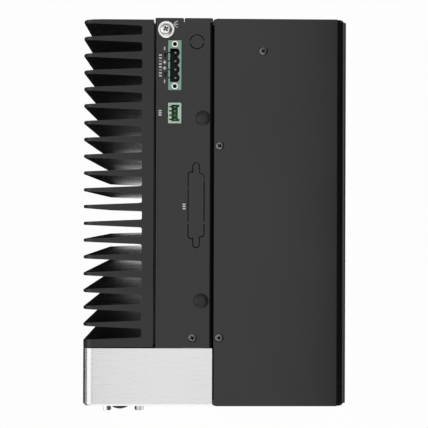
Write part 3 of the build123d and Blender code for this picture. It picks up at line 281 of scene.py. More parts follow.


# Each takes its darkest and lightest tone, the size of its grain, its roughness and its relief;
# a coated one the tone of its edges too, worn and with painted highlight, and a bare one the
# stretch of its grain
anodised = coated(
    "anodised_black", srgb(29, 29, 30), srgb(37, 37, 38), srgb(84, 84, 86), 0.3, (0.2, 0.28), 0.008
)
sawn = coated(
    "anodised_sawn_end", srgb(28, 28, 29), srgb(38, 38, 39), srgb(92, 92, 94), 0.22, (0.3, 0.38),
    0.012,
)
plate_black = coated(
    "plate_black", srgb(17, 17, 18), srgb(23, 23, 24), srgb(80, 80, 82), 0.5, (0.17, 0.22), 0.006
)
powder_black = coated(
    "powder_black", srgb(16, 16, 17), srgb(22, 22, 23), srgb(60, 60, 62), 0.6, (0.15, 0.2), 0.008
)
silver = brushed_silver()
even = (1, 1, 1)
plain_aluminium = bare_metal(
    "plain_aluminium", srgb(176, 177, 180), srgb(200, 201, 203), 0.3, (1, 1, 30), (0.3, 0.5), 0.006
)
zinc_steel = bare_metal(
    "zinc_steel", srgb(160, 162, 166), srgb(196, 197, 198), 6.0, even, (0.28, 0.45), 0.01
)
nickel = bare_metal(
    "nickel", srgb(232, 231, 228), srgb(246, 245, 243), 0.4, even, (0.2, 0.32), 0.004
)
tin = bare_metal("tin", srgb(116, 116, 116), srgb(150, 150, 148), 0.3, even, (0.3, 0.4), 0.004)
gold = bare_metal(
    "gold_pins", srgb(196, 156, 70), srgb(222, 184, 96), 0.3, even, (0.2, 0.3), 0.003
)
black_screw = bare_metal(
    "black_screw", srgb(112, 112, 114), srgb(140, 140, 141), 1.2, even, (0.22, 0.34), 0.004
)
# Dark matte for the screws' cross recesses, a painted shade darker than their metal
recess_painted_shade = moulded(
    "recess_painted_shade", srgb(14, 14, 15), srgb(22, 22, 23), (0.5, 0.65), ior_level=0.2
)
pcb = circuit_board()
thermal_rubber = moulded("thermal_rubber", srgb(120, 128, 136), srgb(146, 152, 158), (0.7, 0.85))
black_plastic = moulded("black_plastic", srgb(22, 22, 23), srgb(30, 30, 31))
plug_plastic = moulded("plug_plastic", srgb(38, 38, 39), srgb(46, 46, 47), (0.36, 0.44))
blue_plastic = moulded("blue_plastic", srgb(28, 62, 138), srgb(38, 78, 158))
foot_rubber = moulded("foot_rubber", srgb(26, 26, 27), srgb(36, 36, 37), (0.7, 0.85), 0.4, 0.02)
# The headers' plastic, with painted shade in their recesses
green_power = green_with_painted_shade(
    "green_power", srgb(168, 208, 187), srgb(26, 34, 32), header_high.z, fade=2.2
)
green_remote = green_with_painted_shade(
    "green_remote", srgb(226, 252, 232), srgb(70, 150, 88), remote_high.z, fade=2.0
)
white_print = moulded("white_print", srgb(232, 232, 232), srgb(244, 244, 244), (0.5, 0.6))
lens = tinted_lens("lens_plastic", srgb(150, 200, 150))

for material, nodes in (
    (anodised, "heat_sink"),
    (plate_black, "main_chassis rear_cover_left rear_cover_right"),
    (powder_black, "expansion_chassis expansion_cover"),
    (silver, "front_bezel"),
    (zinc_steel, "slot_frame slot_cover_1 slot_cover_2 slot_cover_3 drive_bracket"),
    (plain_aluminium, "solid_state_drive heat_spreader"),
    (nickel, "processor coin_cell standoffs ground_screw ground_washer jackscrews"),
    (nickel, "usb_port_1 usb_port_2 lan_port_1 lan_port_2 power_header_inserts"),
    (nickel, "com_port_1_shell com_port_2_shell com_port_3_shell vga_port_shell"),
    (thermal_rubber, "thermal_pad"),
    (pcb, "mainboard io_board backplane memory_module"),
    (black_plastic, "memory_socket battery_holder board_link riser_socket"),
    (black_plastic, "slot_connector_1 slot_connector_2 slot_connector_3 audio_jacks"),
    (black_plastic, "com_port_1_body com_port_2_body com_port_3_body"),
    (black_plastic, "power_button power_switch switch_plunger"),
    (blue_plastic, "usb_tongues vga_port_body"),
    (lens, "status_leds"),
    (green_power, "power_header"),
    (green_remote, "remote_header"),
    (tin, "header_pins"),
    (gold, "port_pins"),
    (plug_plastic, "hole_plugs"),
    (black_screw, "flat_screws pan_screws sink_screws"),
    (foot_rubber, "rubber_feet"),
):
    for node in nodes.split():
        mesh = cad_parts[node].data
        mesh.materials.clear()
        mesh.materials.append(material)


# ---------------------------------------------------------------- Rounded edges on the CAD sheets
def soften(node, width):
    """Joins a CAD node's triangles and rounds its edges a little, as a deburred sheet's are."""
    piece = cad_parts[node]
    weld = piece.modifiers.new("Join", "WELD")
    weld.merge_threshold = 0.000002
    flat = piece.modifiers.new("Merge flats", "DECIMATE")
    flat.decimate_type = "DISSOLVE"
    flat.angle_limit = radians(0.5)
    bevel = piece.modifiers.new("Round edges", "BEVEL")
    bevel.width = width * MM
    bevel.segments = 2
    bevel.limit_method = "ANGLE"
    bevel.angle_limit = radians(35)
    bevel.harden_normals = True
    bevel.use_clamp_overlap = True


for node, width in (
    ("rear_cover_left", 0.25),
    ("rear_cover_right", 0.25),
    ("slot_cover_1", 0.2),
    ("slot_cover_2", 0.2),
    ("slot_cover_3", 0.2),
    ("slot_frame", 0.2),
    ("power_header", 0.15),
    ("remote_header", 0.15),
):
    soften(node, width)


# ---------------------------------------------------------------- Pieces made here
class Solid:
    """Gathers closed shapes, in millimetres, into one piece."""

    def __init__(self):
        self.bm = bmesh.new()

    def loft(self, rings, place=Matrix(), loop=False):
        """Skin over rings of equal length, closed at both ends or looped to the first ring."""
        rows = [[self.bm.verts.new(place @ Vector(p)) for p in ring] for ring in rings]
        if loop:
            rows.append(rows[0])
        made = []
        count = len(rows[0])
        for low, high in zip(rows, rows[1:]):
            for k in range(count):
                after = (k + 1) % count
                made.append(self.bm.faces.new((low[k], low[after], high[after], high[k])))
        if not loop:
            made.append(self.bm.faces.new(reversed(rows[0])))
            made.append(self.bm.faces.new(rows[-1]))
        return made

    def block(self, low, high):
        """A block between two corners."""
        (x0, y0, z0), (x1, y1, z1) = low, high
        base = ((x0, y0), (x1, y0), (x1, y1), (x0, y1))
        return self.loft([level(base, z) for z in (z0, z1)])

    def drilled(self, outline, holes, low, high, place=Matrix()):
        """A plate between two heights with holes through it, filled between its outlines."""
        curve = bpy.data.curves.new("drilled", "CURVE")
        curve.dimensions = "2D"
        curve.fill_mode = "BOTH"
        curve.extrude = (high - low) / 2
        for ring in (outline, *holes):
            spline = curve.splines.new("POLY")
            spline.points.add(len(ring) - 1)
            for point, (x, y) in zip(spline.points, ring):
                point.co = (x, y, 0.0, 1.0)
            spline.use_cyclic_u = True
        holder = bpy.data.objects.new("drilled", curve)
        mesh = bpy.data.meshes.new_from_object(holder)
        mesh.transform(place @ Matrix.Translation((0.0, 0.0, (low + high) / 2)))
        before = len(self.bm.verts)
        self.bm.from_mesh(mesh)
        self.bm.verts.ensure_lookup_table()
        bmesh.ops.remove_doubles(self.bm, verts=self.bm.verts[before:], dist=0.0001)
        bpy.data.objects.remove(holder)
        bpy.data.curves.remove(curve)
        bpy.data.meshes.remove(mesh)

    def piece(self, name, materials, slot, body="computer", replaces=(), smooth=30.0):
        """The finished Blender object, riding on a CAD body."""
        bmesh.ops.recalc_face_normals(self.bm, faces=self.bm.faces)
        bmesh.ops.scale(self.bm, vec=(MM, MM, MM), verts=self.bm.verts)
        mesh = bpy.data.meshes.new(name)
        self.bm.to_mesh(mesh)
        self.bm.free()
        for material in materials:
            mesh.materials.append(material)
        for polygon in mesh.polygons:
            polygon.use_smooth = True
        mesh.set_sharp_from_angle(angle=radians(smooth))
        made = bpy.data.objects.new(name, mesh)
        bpy.context.scene.collection.objects.link(made)
        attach(made, body)
        if replaces:
            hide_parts(*replaces)


def level(outline, z):
    """An outline's points at one height."""
    return [(x, y, z) for x, y in outline]


def turn(count):
    """Evenly spaced angles round a circle."""
    return [2 * pi * k / count for k in range(count)]


def circle(radius, z, angles):
    """Ring of points at these angles."""
    return [(radius * cos(a), radius * sin(a), z) for a in angles]


def lathe(profile, angles):
    """Rings of a turned shape from its (radius, z) profile."""
    return [circle(radius, z, angles) for radius, z in profile]


def rounded(points, radius, steps):
    """Outline with rounded corners, from the corners of a convex one given anticlockwise."""
    outline = []
    count = len(points)
    for k in range(count):
        corner = Vector(points[k])
        before = (Vector(points[k - 1]) - corner).normalized()
        after = (Vector(points[(k + 1) % count]) - corner).normalized()
        half = before.angle(after) / 2
        reach = radius / tan(half)
        centre = corner + (before + after).normalized() * (radius / sin(half))
        start = corner + before * reach - centre
        sweep = pi - 2 * half
        for step in range(steps + 1):
            angle = sweep * step / steps
            c, s = cos(angle), sin(angle)
            x, y = start.x * c - start.y * s, start.x * s + start.y * c
            outline.append((centre.x + x, centre.y + y))
    return outline


def oblong(width, length, corner, steps=4):
    """A rectangle about the origin, with rounded corners."""
    x, y = width / 2, length / 2
    return rounded([(-x, -y), (x, -y), (x, y), (-x, y)], corner, steps)


def facing(x, y, z, direction):
    """Placement whose own z points along a direction, from a point in millimetres."""
    spin = Vector((0, 0, 1)).rotation_difference(Vector(direction)).to_matrix().to_4x4()
    return Matrix.Translation((x, y, z)) @ spin


# Cross recess: the half width of its arms as a share of their length, and the angles of its points
cross_ratio = 0.34
arm_angle = atan(cross_ratio)
corner_steps = 8
quarter = [0.0, arm_angle * 0.5, arm_angle]
quarter += [
    arm_angle + (pi / 2 - 2 * arm_angle) * k / corner_steps for k in range(1, corner_steps + 1)
]
quarter += [pi / 2 - arm_angle * 0.5]
cross_angles = [pi / 2 * turns + angle for turns in range(4) for angle in quarter]


def cross_ring(arm, z):
    """Outline of a cross recess whose arms are this long."""
    ring = []
    for angle in cross_angles:
        folded = angle % (pi / 2)
        folded = min(folded, pi / 2 - folded)
        if folded <= arm_angle + 1e-6:
            radius = arm / cos(folded)
        else:
            radius = arm * cross_ratio / sin(folded)
        ring.append((radius * cos(angle), radius * sin(angle), z))
    return ring


def screw_rings(profile, arm, depth):
    """Rings of a screw: its turned outline from shank to head, then its tapering recess."""
    top = profile[-1][1]
    rings = lathe(profile, cross_angles)
    rings.append(cross_ring(arm, top))
    rings.append(cross_ring(arm * 0.82, top - 0.35 * depth))
    rings.append(cross_ring(arm * 0.42, top - depth))
    return rings


def screw(solid, profile, arm, depth, place):
    """A screw with a cross recess, whose recess takes the second material, darker than the head as
    painted shade.
    """
    made = solid.loft(screw_rings(profile, arm, depth), place)
    for face in made[len(cross_angles) * len(profile):]:
        face.material_index = 1


def front_place(x, z):
    """Placement whose own x runs along X, y along Z and z towards the front, from Y = 0."""
    return Matrix.Translation((x, 0.0, z)) @ Matrix.Rotation(pi / 2, 4, "X")


# The front panel's own height in such a placement
panel = -y_front


# ---------------------------------------------------------------- Heat sink
# Sizes of the CAD's fins and slab
fin_count = 20
fin_length = 34.9
fin_tip = 1.9
fin_root = 4.8
fin_end_radius = 6.0
front_fin_inset = 3.4
rear_fin_inset = 1.3
sink_slab = 7.1

# The seam beside the slab is this much wider than in the CAD, and closed by a pad further in
seam_cut = 0.2
pad_inset = 12.0

# Ripple along the fins, which fades in past the tip, and the fillet at their roots
ripple_pitch = 0.8
ripple_depth = 0.13
ripple_steps = 4
ripple_fade = 2.0
root_fillet = 0.9
root_lap = 0.02

x_slab = x_tip + fin_length
x_sink = x_slab + sink_slab - seam_cut
y_sink = sink_low.y
y_sink_back = sink_high.y
fin_pitch = (y_sink_back - y_sink - front_fin_inset - rear_fin_inset) / (fin_count - 1)


def end_drop(x):
    """How far the fins' ends are cut back at x by their rounded corners."""
    inward = x_tip + fin_end_radius - x
    if inward <= 0:
        return 0.0
    return fin_end_radius - sqrt(max(fin_end_radius ** 2 - inward ** 2, 0.0))


def fin_stations():
    """Distances from the tip, with the half thickness of a plain fin at each of them."""
    tip_radius = fin_tip / 2
    tip_steps, root_steps = 6, 5
    stations = []
    for step in range(1, tip_steps + 1):
        angle = pi / 2 * step / tip_steps
        stations.append((tip_radius * (1 - cos(angle)), tip_radius * sin(angle)))
    count = int((fin_length - 2 * tip_radius - root_fillet) / ripple_pitch * ripple_steps)
    for step in range(1, count):
        past_tip = ripple_pitch * step / ripple_steps
        along = tip_radius + past_tip
        half = (fin_tip + (fin_root - fin_tip) * along / fin_length) / 2
        wave = 0.5 - 0.5 * cos(2 * pi * step / ripple_steps)
        stations.append((along, half - ripple_depth * min(1.0, past_tip / ripple_fade) * wave))
    for step in range(root_steps + 1):
        angle = pi / 2 * step / root_steps
        along = fin_length - root_fillet * (1 - sin(angle))
        stations.append((along, fin_root / 2 - root_lap + root_fillet * (1 - cos(angle))))
    return stations


def saw(faces, reach):
    """Gives the sawn finish to the faces whose middles are this near the sink's two ends."""
    for face in faces:
        if not z_bottom + reach < face.calc_center_median().z < z_top - reach:
            face.material_index = 1


heat_sink = Solid()
for index in range(fin_count):
    y_fin = y_sink + front_fin_inset + index * fin_pitch
    rings = []
    for along, half in fin_stations():
        x = x_tip + along
        drop = end_drop(x)
        # The first and the last fin have flat outer faces
        front = y_fin - half if index > 0 else y_sink
        back = min(y_fin + half, y_sink_back)
        base = [(front, z_bottom + drop), (back, z_bottom + drop)]
        rings.append([(x, y, z) for y, z in base + [(back, z_top - drop), (front, z_top - drop)]])
    saw(heat_sink.loft(rings), fin_end_radius + 0.5)
saw(heat_sink.block((x_slab, y_sink, z_bottom), (x_sink, y_sink_back, z_top)), 0.01)
heat_sink.block(
    (x_sink, y_sink, z_bottom + pad_inset), (x_wall - 0.01, y_sink_back, z_top - pad_inset)
)
heat_sink.piece(
    "Heat_sink_fins", [anodised, sawn], slot="anodised_black", replaces=["heat_sink"], smooth=28
)

# ---------------------------------------------------------------- Screws
screw_core = 1.2
screw_thread = 1.45
shank = 5.0

# Countersunk screws, whose heads lie a little below the plate: one in the chassis, above and
# below, three in the expansion box and four in the rear covers
flat_sunk = 0.35
flat_head = 2.4
flat_profile = [
    (screw_core, -shank), (screw_thread, -shank + 0.3), (screw_thread, -1.2),
    (flat_head - 0.06, -0.2), (flat_head - 0.04, -0.12), (flat_head - 0.32, 0.0),
]
screw_row = y_front + 40.5
top_screw = (x_side - 11.8, screw_row)
box_screws = [
    (x_box + 3.1, screw_row),
    (x_box + 3.1, cover_high.y - 75.5),
    (x_box + 28.9, cover_high.y - 19.0),
]
pan_border = 13.0
rear_screws = [
    ((low.x + high.x) / 2, z)
    for low, high in ((left_pan_low, left_pan_high), (right_pan_low, right_pan_high))
    for z in (z_bottom + pan_border / 2, z_top - pan_border / 2)
]
flat_places = [facing(x, y, z_top - flat_sunk, (0, 0, 1)) for x, y in (top_screw, *box_screws)]
flat_places += [facing(*top_screw, z_bottom + flat_sunk, (0, 0, -1))]
flat_places += [facing(x, y_back - flat_sunk, z, (0, 1, 0)) for x, z in rear_screws]
flat_screws = Solid()
for index, place in enumerate(flat_places):
    spin = Matrix.Rotation(0.35 + 1.1 * index, 4, "Z")
    screw(flat_screws, flat_profile, arm=1.35, depth=1.3, place=place @ spin)
flat_screws.piece(
    "Flat_screws", [black_screw, recess_painted_shade], slot="black_screw", replaces=["flat_screws"]
)

# Pan-head screws: main board, expansion box, backplane and slot covers
pan_profile = [
    (screw_core, -shank), (screw_thread, -shank + 0.3), (screw_thread, 0.0), (2.6, 0.0),
    (2.75, 0.15), (2.75, 0.9), (2.6, 1.5), (2.25, 1.9), (1.9, 2.0),
]
board_inset = 34.0
box_inset = 7.0
backplane_inset = 8.0
backplane_low, backplane_high = corners("backplane")
pan_places = [
    facing(corners("mainboard")[1].x, y, z, (1, 0, 0))
    for y in (y_front + 42.0, y_back - 31.0)
    for z in (z_bottom + board_inset, z_top - board_inset)
]
pan_places += [
    facing(x_side + sheet, y, z, (1, 0, 0))
    for y in (y_front + 50.0, cover_high.y - 30.2)
    for z in (z_bottom + box_inset, z_top - box_inset)
]
pan_places += [
    facing(x, y, backplane_high.z, (0, 0, 1))
    for x in (x_box + 8.4, corners("expansion_chassis")[1].x - backplane_inset)
    for y in (backplane_low.y + backplane_inset, backplane_high.y - backplane_inset)
]
for number in (1, 2, 3):
    low, high = corners(f"slot_cover_{number}")
    pan_places.append(facing((low.x + high.x) / 2, y_front + 7.2, high.z, (0, 0, 1)))
pan_screws = Solid()
for index, place in enumerate(pan_places):
    spin = Matrix.Rotation(0.8 * index, 4, "Z")
    screw(pan_screws, pan_profile, arm=1.45, depth=1.2, place=place @ spin)
pan_screws.piece(
    "Pan_screws", [black_screw, recess_painted_shade], slot="black_screw", replaces=["pan_screws"]
)

# ---------------------------------------------------------------- Earth screw and its washer
washer_low, washer_high = corners("ground_washer")
screw_low, screw_high = corners("ground_screw")
ground = (washer_low + washer_high) / 2
ground_place = Matrix.Translation((ground.x, ground.y, 0.0))
washer_radius = (washer_high.x - washer_low.x) / 2
washer_bore = 2.1
washer_profile = [
    (washer_bore, washer_low.z),
    (washer_radius - 0.15, washer_low.z),
    (washer_radius, washer_low.z + 0.2),
    (washer_radius, washer_high.z - 0.25),
    (washer_radius - 0.25, washer_high.z),
    (washer_bore, washer_high.z),
]
washer = Solid()
washer.loft(lathe(washer_profile, turn(64)), ground_place, loop=True)
washer.piece("Ground_washer", [nickel], slot="nickel", replaces=["ground_washer"])

# Its domed head rises above a low cylinder
head = (screw_high.x - screw_low.x) / 2
crown_height = 1.4
crown_base = screw_high.z - crown_height * sin(radians(60))
ground_profile = [
    (1.6, screw_low.z),
    (1.95, screw_low.z + 0.4),
    (1.95, washer_high.z),
    (head - 0.1, washer_high.z),
    (head, washer_high.z + 0.1),
]
for degrees in range(0, 60, 10):
    slope = radians(degrees)
    ground_profile.append((head * cos(slope), crown_base + crown_height * sin(slope)))
ground_screw = Solid()
spin = Matrix.Rotation(0.55, 4, "Z")
# Its recess takes the darker black screw metal, a painted shade
screw(ground_screw, ground_profile, arm=1.6, depth=1.7, place=ground_place @ spin)
ground_screw.piece(
    "Ground_screw", [nickel, black_screw], slot="nickel", replaces=["ground_screw"]
)

# ---------------------------------------------------------------- Plugs in the aerial holes
plugs_low, plugs_high = corners("hole_plugs")
plug_radius = 4.5
plug_neck = 3.05
plug_barb = 3.45
plug_edge = 0.15
dome_steps = 12
plug_profile = [
    (2.4, plugs_low.z), (plug_barb, plugs_low.z + 1.0), (plug_barb, z_top - sheet),
    (plug_neck, z_top - sheet), (plug_neck, z_top), (plug_radius - 0.2, z_top),
    (plug_radius, z_top + plug_edge),
]
plug_dome = plugs_high.z - z_top - plug_edge
for step in range(1, dome_steps):
    share = 1 - step / dome_steps
    rise = plug_dome * (1 - share ** 4) ** 0.6
    plug_profile.append((plug_radius * share, z_top + plug_edge + rise))
hole_plugs = Solid()
for x, y in (
    (plugs_high.x - plug_radius, plugs_high.y - plug_radius),
    (plugs_low.x + plug_radius, plugs_low.y + plug_radius),
):
    hole_plugs.loft(lathe(plug_profile, turn(48)), Matrix.Translation((x, y, 0.0)))
hole_plugs.piece(
    "Hole_plugs", [plug_plastic], slot="black_plastic", replaces=["hole_plugs"], smooth=35
)

# ---------------------------------------------------------------- Power button
button_low, button_high = corners("power_button")
bezel_wall = 2.0
button_radius = 4.6
button_shaft = 1.7
button_dome = 1.18
collar_radius = (button_high.x - button_low.x) / 2
collar = panel - bezel_wall - 0.2
collar_back = collar - 1.0
wall_end = -button_low.y - button_dome - 0.12
button_profile = [
    (button_shaft, -button_high.y), (button_shaft, collar_back), (collar_radius, collar_back),
    (collar_radius, collar), (button_radius, collar), (button_radius, wall_end - 0.2),
    (button_radius - 0.06, wall_end),
]
for step in range(1, dome_steps):
    share = 1 - step / dome_steps
    rise = 0.12 + button_dome * (1 - share ** 2)
    button_profile.append(((button_radius - 0.15) * share, wall_end + rise))
button_place = front_place(
    (button_low.x + button_high.x) / 2, (button_low.z + button_high.z) / 2
)
button = Solid()
button.loft(lathe(button_profile, turn(64)), button_place)
button.piece(
    "Power_button", [black_plastic], body="button", slot="black_plastic", replaces=["power_button"]
)

# ---------------------------------------------------------------- Ports of the front panel
shell_length, shell_width, shell_corner, shell_lean = 16.9, 8.4, 2.4, radians(10)
shell_wall = 0.5
flange_width, flange_length = 12.5, 30.8
flange_front = panel - bezel_wall
flange_back = flange_front - 0.8
board_front = panel - 13.0
shell_tip = flange_front + 5.9
screw_spacing = 24.99


def d_outline(inset):
    """D-shaped outline, drawn in by a distance from the outside of the shell."""
    width, length = shell_width - 2 * inset, shell_length - 2 * inset
    lean = width * tan(shell_lean)
    shape = [
        (-width / 2, -length / 2),
        (width / 2, lean - length / 2),
        (width / 2, length / 2 - lean),
        (-width / 2, length / 2),
    ]
    return rounded(shape, shell_corner - inset, steps=6)


ports = {}
for node in ("com_port_1", "com_port_2", "com_port_3", "vga_port"):
    low, high = corners(f"{node}_shell")
    ports[node] = front_place((low.x + high.x) / 2, (low.z + high.z) / 2)

# The shell's outside from the flange's root to its tip, then back along its inside
shell_rings = [
    level(d_outline(inset), z)
    for inset, z in (
        (-0.45, flange_front), (-0.12, flange_front + 0.12), (0.0, flange_front + 0.45),
        (0.0, shell_tip - 0.2), (0.12, shell_tip), (0.38, shell_tip),
        (shell_wall, shell_tip - 0.2), (shell_wall, flange_back), (-0.45, flange_back),
    )
]
flange = oblong(flange_width, flange_length, 1.2)
flange_rings = [
    level(flange, flange_back),
    level(flange, flange_front - 0.1),
    level(oblong(flange_width - 0.2, flange_length - 0.2, 1.1), flange_front),
]

# Nine round pins in rows of five and four
pin_radius = 0.5
pin_pitch, pin_row = 2.77, 1.42
pin_profile = [
    (pin_radius, panel - 5.0), (pin_radius, flange_front + 4.8), (0.38, flange_front + 5.05),
    (0.15, flange_front + 5.2),
]
com_pins = [(-pin_row, pin_pitch * (k - 2)) for k in range(5)]
com_pins += [(pin_row, pin_pitch * (k - 1.5)) for k in range(4)]

jack_flat = 4.9
jack_shank = 1.5
jack_bore = 1.3
jack_tip = panel + 5.2
jack_angles = turn(48)
thread_ridge, thread_step = 0.12, 0.25


def hexagon(flat, z, limit=jack_flat):
    """Hexagon of a width across flats, its corners cut to a radius."""
    ring = []
    for angle in jack_angles:
        radius = min(flat / 2 / cos((angle + pi / 6) % (pi / 3) - pi / 6), limit)
        ring.append((radius * cos(angle), radius * sin(angle), z))
    return ring


# A jackscrew from its shank to its hexagon, then down its threaded bore
jack_rings = [
    circle(jack_bore, panel - 5.8, jack_angles),
    circle(jack_shank, panel - 5.6, jack_angles),
    circle(jack_shank, panel, jack_angles),
    hexagon(jack_flat - 0.3, panel),
    hexagon(jack_flat, panel + 0.15),
    hexagon(jack_flat, jack_tip - 0.35),
    hexagon(jack_flat, jack_tip - 0.1, limit=2.55),
    hexagon(jack_flat - 0.2, jack_tip, limit=2.35),
    circle(jack_bore + 0.3, jack_tip, jack_angles),
    circle(jack_bore, jack_tip - 0.3, jack_angles),
]
for k in range(8):
    radius = jack_bore + thread_ridge * (k % 2)
    jack_rings.append(circle(radius, jack_tip - 0.45 - thread_step * k, jack_angles))
jack_rings.append(circle(jack_bore, jack_tip - 4.2, jack_angles))

port_shells = Solid()
port_pins = Solid()
jackscrews = Solid()
for node, place in ports.items():
    port_shells.loft(shell_rings, place, loop=True)
    port_shells.loft(flange_rings, place)
    is_vga = node == "vga_port"
    for side in (-1, 1):
        spot = Matrix.Translation((0.0, side * screw_spacing / 2, 0.0))
        spin = Matrix.Rotation(0.3 * side + radians(80 if is_vga else 100), 4, "Z")
        jackscrews.loft(jack_rings, place @ spot @ spin)
    if not is_vga:
        for x, y in com_pins:
            port_pins.loft(lathe(pin_profile, turn(12)), place @ Matrix.Translation((x, y, 0.0)))
port_shells.piece(
    "Port_shells", [nickel], slot="nickel", replaces=[f"{node}_shell" for node in ports]
)
port_pins.piece("Port_pins", [gold], slot="gold_pins", replaces=["port_pins"])
jackscrews.piece("Jackscrews", [nickel], slot="nickel", replaces=["jackscrews"])

# The 15-way port's body has three rows of five holes, the middle one set half a hole aside
hole_radius, hole_pitch, hole_row, hole_depth = 0.55, 2.29, 1.98, 3.0
vga_holes = []
for row, shift in ((-1, 0.25), (0, -0.25), (1, 0.25)):
    for k in range(5):
        x, y = hole_row * row, hole_pitch * (k - 2 + shift)
        vga_holes.append([(x + dx, y + dy) for dx, dy, _ in circle(hole_radius, 0.0, turn(12))])
vga_place = ports["vga_port"]
vga_face = flange_front + 5.4
vga_floor = vga_face - hole_depth
vga_back = oblong(11.5, flange_length, 0.8)
insert = d_outline(shell_wall + 0.05)
vga_body = Solid()
vga_body.loft([level(vga_back, board_front), level(vga_back, flange_back)], vga_place)
vga_body.loft([level(insert, flange_back), level(insert, vga_floor)], vga_place)
vga_body.drilled(insert, vga_holes, vga_floor, vga_face, vga_place)
vga_body.piece(
    "Vga_port_body", [blue_plastic], slot="blue_plastic", replaces=["vga_port_body"], smooth=40
)


# ---------------------------------------------------------------- Springs and contacts of sockets
def bent_strip(solid, path, width, thickness, place):
    """A strip along a bent path of (y, z) points, across x = 0."""
    x = width / 2
    solid.loft(
        [level([(-x, y), (x, y), (x, y + thickness), (-x, y + thickness)], z) for y, z in path],
        place,
    )


def below_panel(path):
    """A path whose depths behind the panel become heights in front_place."""
    return [(y, panel - depth) for y, depth in path]


usb_spring = below_panel(
    [(-0.2, 0.15), (-0.3, 0.8), (-0.55, 1.8), (-0.65, 3.2), (-0.4, 4.6), (-0.1, 5.6)]
)
usb_contact = below_panel([(0.06, 1.2), (0.0, 1.4), (0.0, 8.4)])
lan_contact = below_panel([(3.75, 1.6), (3.6, 2.2), (0.4, 7.6), (0.0, 8.4), (0.0, 10.9)])
usb_half_gap = 3.9
lan_pitch = 1.02
contacts = Solid()
springs = Solid()
for number in (1, 2):
    low, high = corners(f"usb_port_{number}")
    x, z = (low.x + high.x) / 2, (low.z + high.z) / 2
    for shift in (-usb_half_gap, usb_half_gap):
        mouth = front_place(x, z + shift)
        for offset in (-2.9, 2.9):
            for turned in (0.0, pi):
                spin = Matrix.Rotation(turned, 4, "Z")
                spot = Matrix.Translation((offset, 2.5, 0.0))
                bent_strip(springs, usb_spring, 1.7, 0.15, mouth @ spin @ spot)
        for offset in (-3.5, -1.0, 1.0, 3.5):
            spot = Matrix.Translation((offset, -0.17, 0.0))
            bent_strip(contacts, usb_contact, 1.0, 0.15, mouth @ spot)
    low, high = corners(f"lan_port_{number}")
    x, z = (low.x + high.x) / 2, (low.z + high.z) / 2
    for k in range(8):
        place = front_place(x + lan_pitch * (k - 3.5), z + 0.9)
        bent_strip(contacts, lan_contact, 0.42, 0.3, place)

# Metal rings in the mouths of the audio sockets
jack_low, jack_high = corners("audio_jacks")
ring_bore, ring_radius = 1.7, 2.5
audio_profile = [
    (ring_bore, panel - 3.0), (ring_bore, panel + 0.05), (ring_bore + 0.15, panel + 0.22),
    (ring_radius - 0.15, panel + 0.22), (ring_radius, panel + 0.05), (ring_radius, panel - 0.3),
    (ring_radius, panel - 3.0),
]
audio_z = (jack_low.z + jack_high.z) / 2
audio_radius = (jack_high.z - jack_low.z) / 2
for x in (jack_low.x + audio_radius, jack_high.x - audio_radius):
    springs.loft(lathe(audio_profile, turn(40)), front_place(x, audio_z), loop=True)
contacts.piece("Socket_contacts", [gold], slot="gold_pins")
springs.piece("Socket_springs", [nickel], slot="nickel")

# ---------------------------------------------------------------- Indicator lenses
led_low, led_high = corners("status_leds")
led_radius = (led_high.z - led_low.z) / 2
led_wall = panel - 0.35
led_dome = 0.75
lens_profile = [
    (led_radius - 0.1, board_front), (led_radius, board_front + 0.1), (led_radius, led_wall)
]
for degrees in range(15, 90, 15):
    slope = radians(degrees)
    lens_profile.append((led_radius * cos(slope), led_wall + led_dome * sin(slope)))
lenses = Solid()
for x in (led_low.x + led_radius, (led_low.x + led_high.x) / 2, led_high.x - led_radius):
    lenses.loft(lathe(lens_profile, turn(32)), front_place(x, (led_low.z + led_high.z) / 2))
lenses.piece("Status_lenses", [lens], slot="lens_plastic", replaces=["status_leds"])

# ---------------------------------------------------------------- Rubber feet
feet_low, feet_high = corners("rubber_feet")
foot_radius = 6.0
# From the top down the side, then up the dimple under the foot
foot_profile = [
    (foot_radius - 0.3, feet_high.z), (foot_radius, feet_high.z - 0.3), (foot_radius - 0.1, 1.0),
    (foot_radius - 0.4, 0.4), (foot_radius - 0.9, 0.06), (foot_radius - 1.4, 0.0), (3.0, 0.0),
    (2.6, 0.15), (2.4, 0.5), (2.3, 1.6),
]
feet = Solid()
for x in (feet_low.x + foot_radius, feet_high.x - foot_radius):
    for y in (feet_low.y + foot_radius, feet_high.y - foot_radius):
        feet.loft(lathe(foot_profile, turn(48)), Matrix.Translation((x, y, 0.0)))
feet.piece("Rubber_feet", [foot_rubber], slot="foot_rubber", replaces=["rubber_feet"])

# ---------------------------------------------------------------- Print on the top plate
print_lift = 0.02
print_height = 0.03
marks = Solid()


def bar(x, y, width, length, angle=0.0, layer=0):
    """A printed bar about a point of the top plate; one that crosses another takes layer 1."""
    outline = oblong(width, length, min(width, length) * 0.2, steps=2)
    place = Matrix.Translation((x, y, z_top)) @ Matrix.Rotation(angle, 4, "Z")
    top = print_lift + print_height * (1 + 0.5 * layer)
    marks.loft([level(outline, print_lift), level(outline, top)], place)


# Signs beside the power header, and bars in place of its legend
sign_x = power_centre.x - 6.1
sign_length, sign_stroke = 2.1, 0.65
for y_offset, plus in ((9.9, False), (1.7, True), (-1.75, True), (-9.6, False)):
    bar(sign_x, power_centre.y + y_offset, sign_stroke, sign_length)
    if plus:
        bar(sign_x, power_centre.y + y_offset, sign_length, sign_stroke, layer=1)
for k, length in enumerate((0.88, 0.88, 0.4, 0.88, 0.88, 0.4, 0.88, 0.88)):
    bar(power_centre.x - 8.6, power_centre.y + 5.9 - 1.75 * k, 1.7, length)

# Three bars in place of the word at the remote header, and three at the knock-out
for x, y in (
    (remote_centre.x - 8.7, remote_centre.y),
    (x_wall + 17.4, remote_centre.y - 55.5),
):
    for k in (-1, 0, 1):
        bar(x, y + 1.3 * k, 1.8, 0.8)

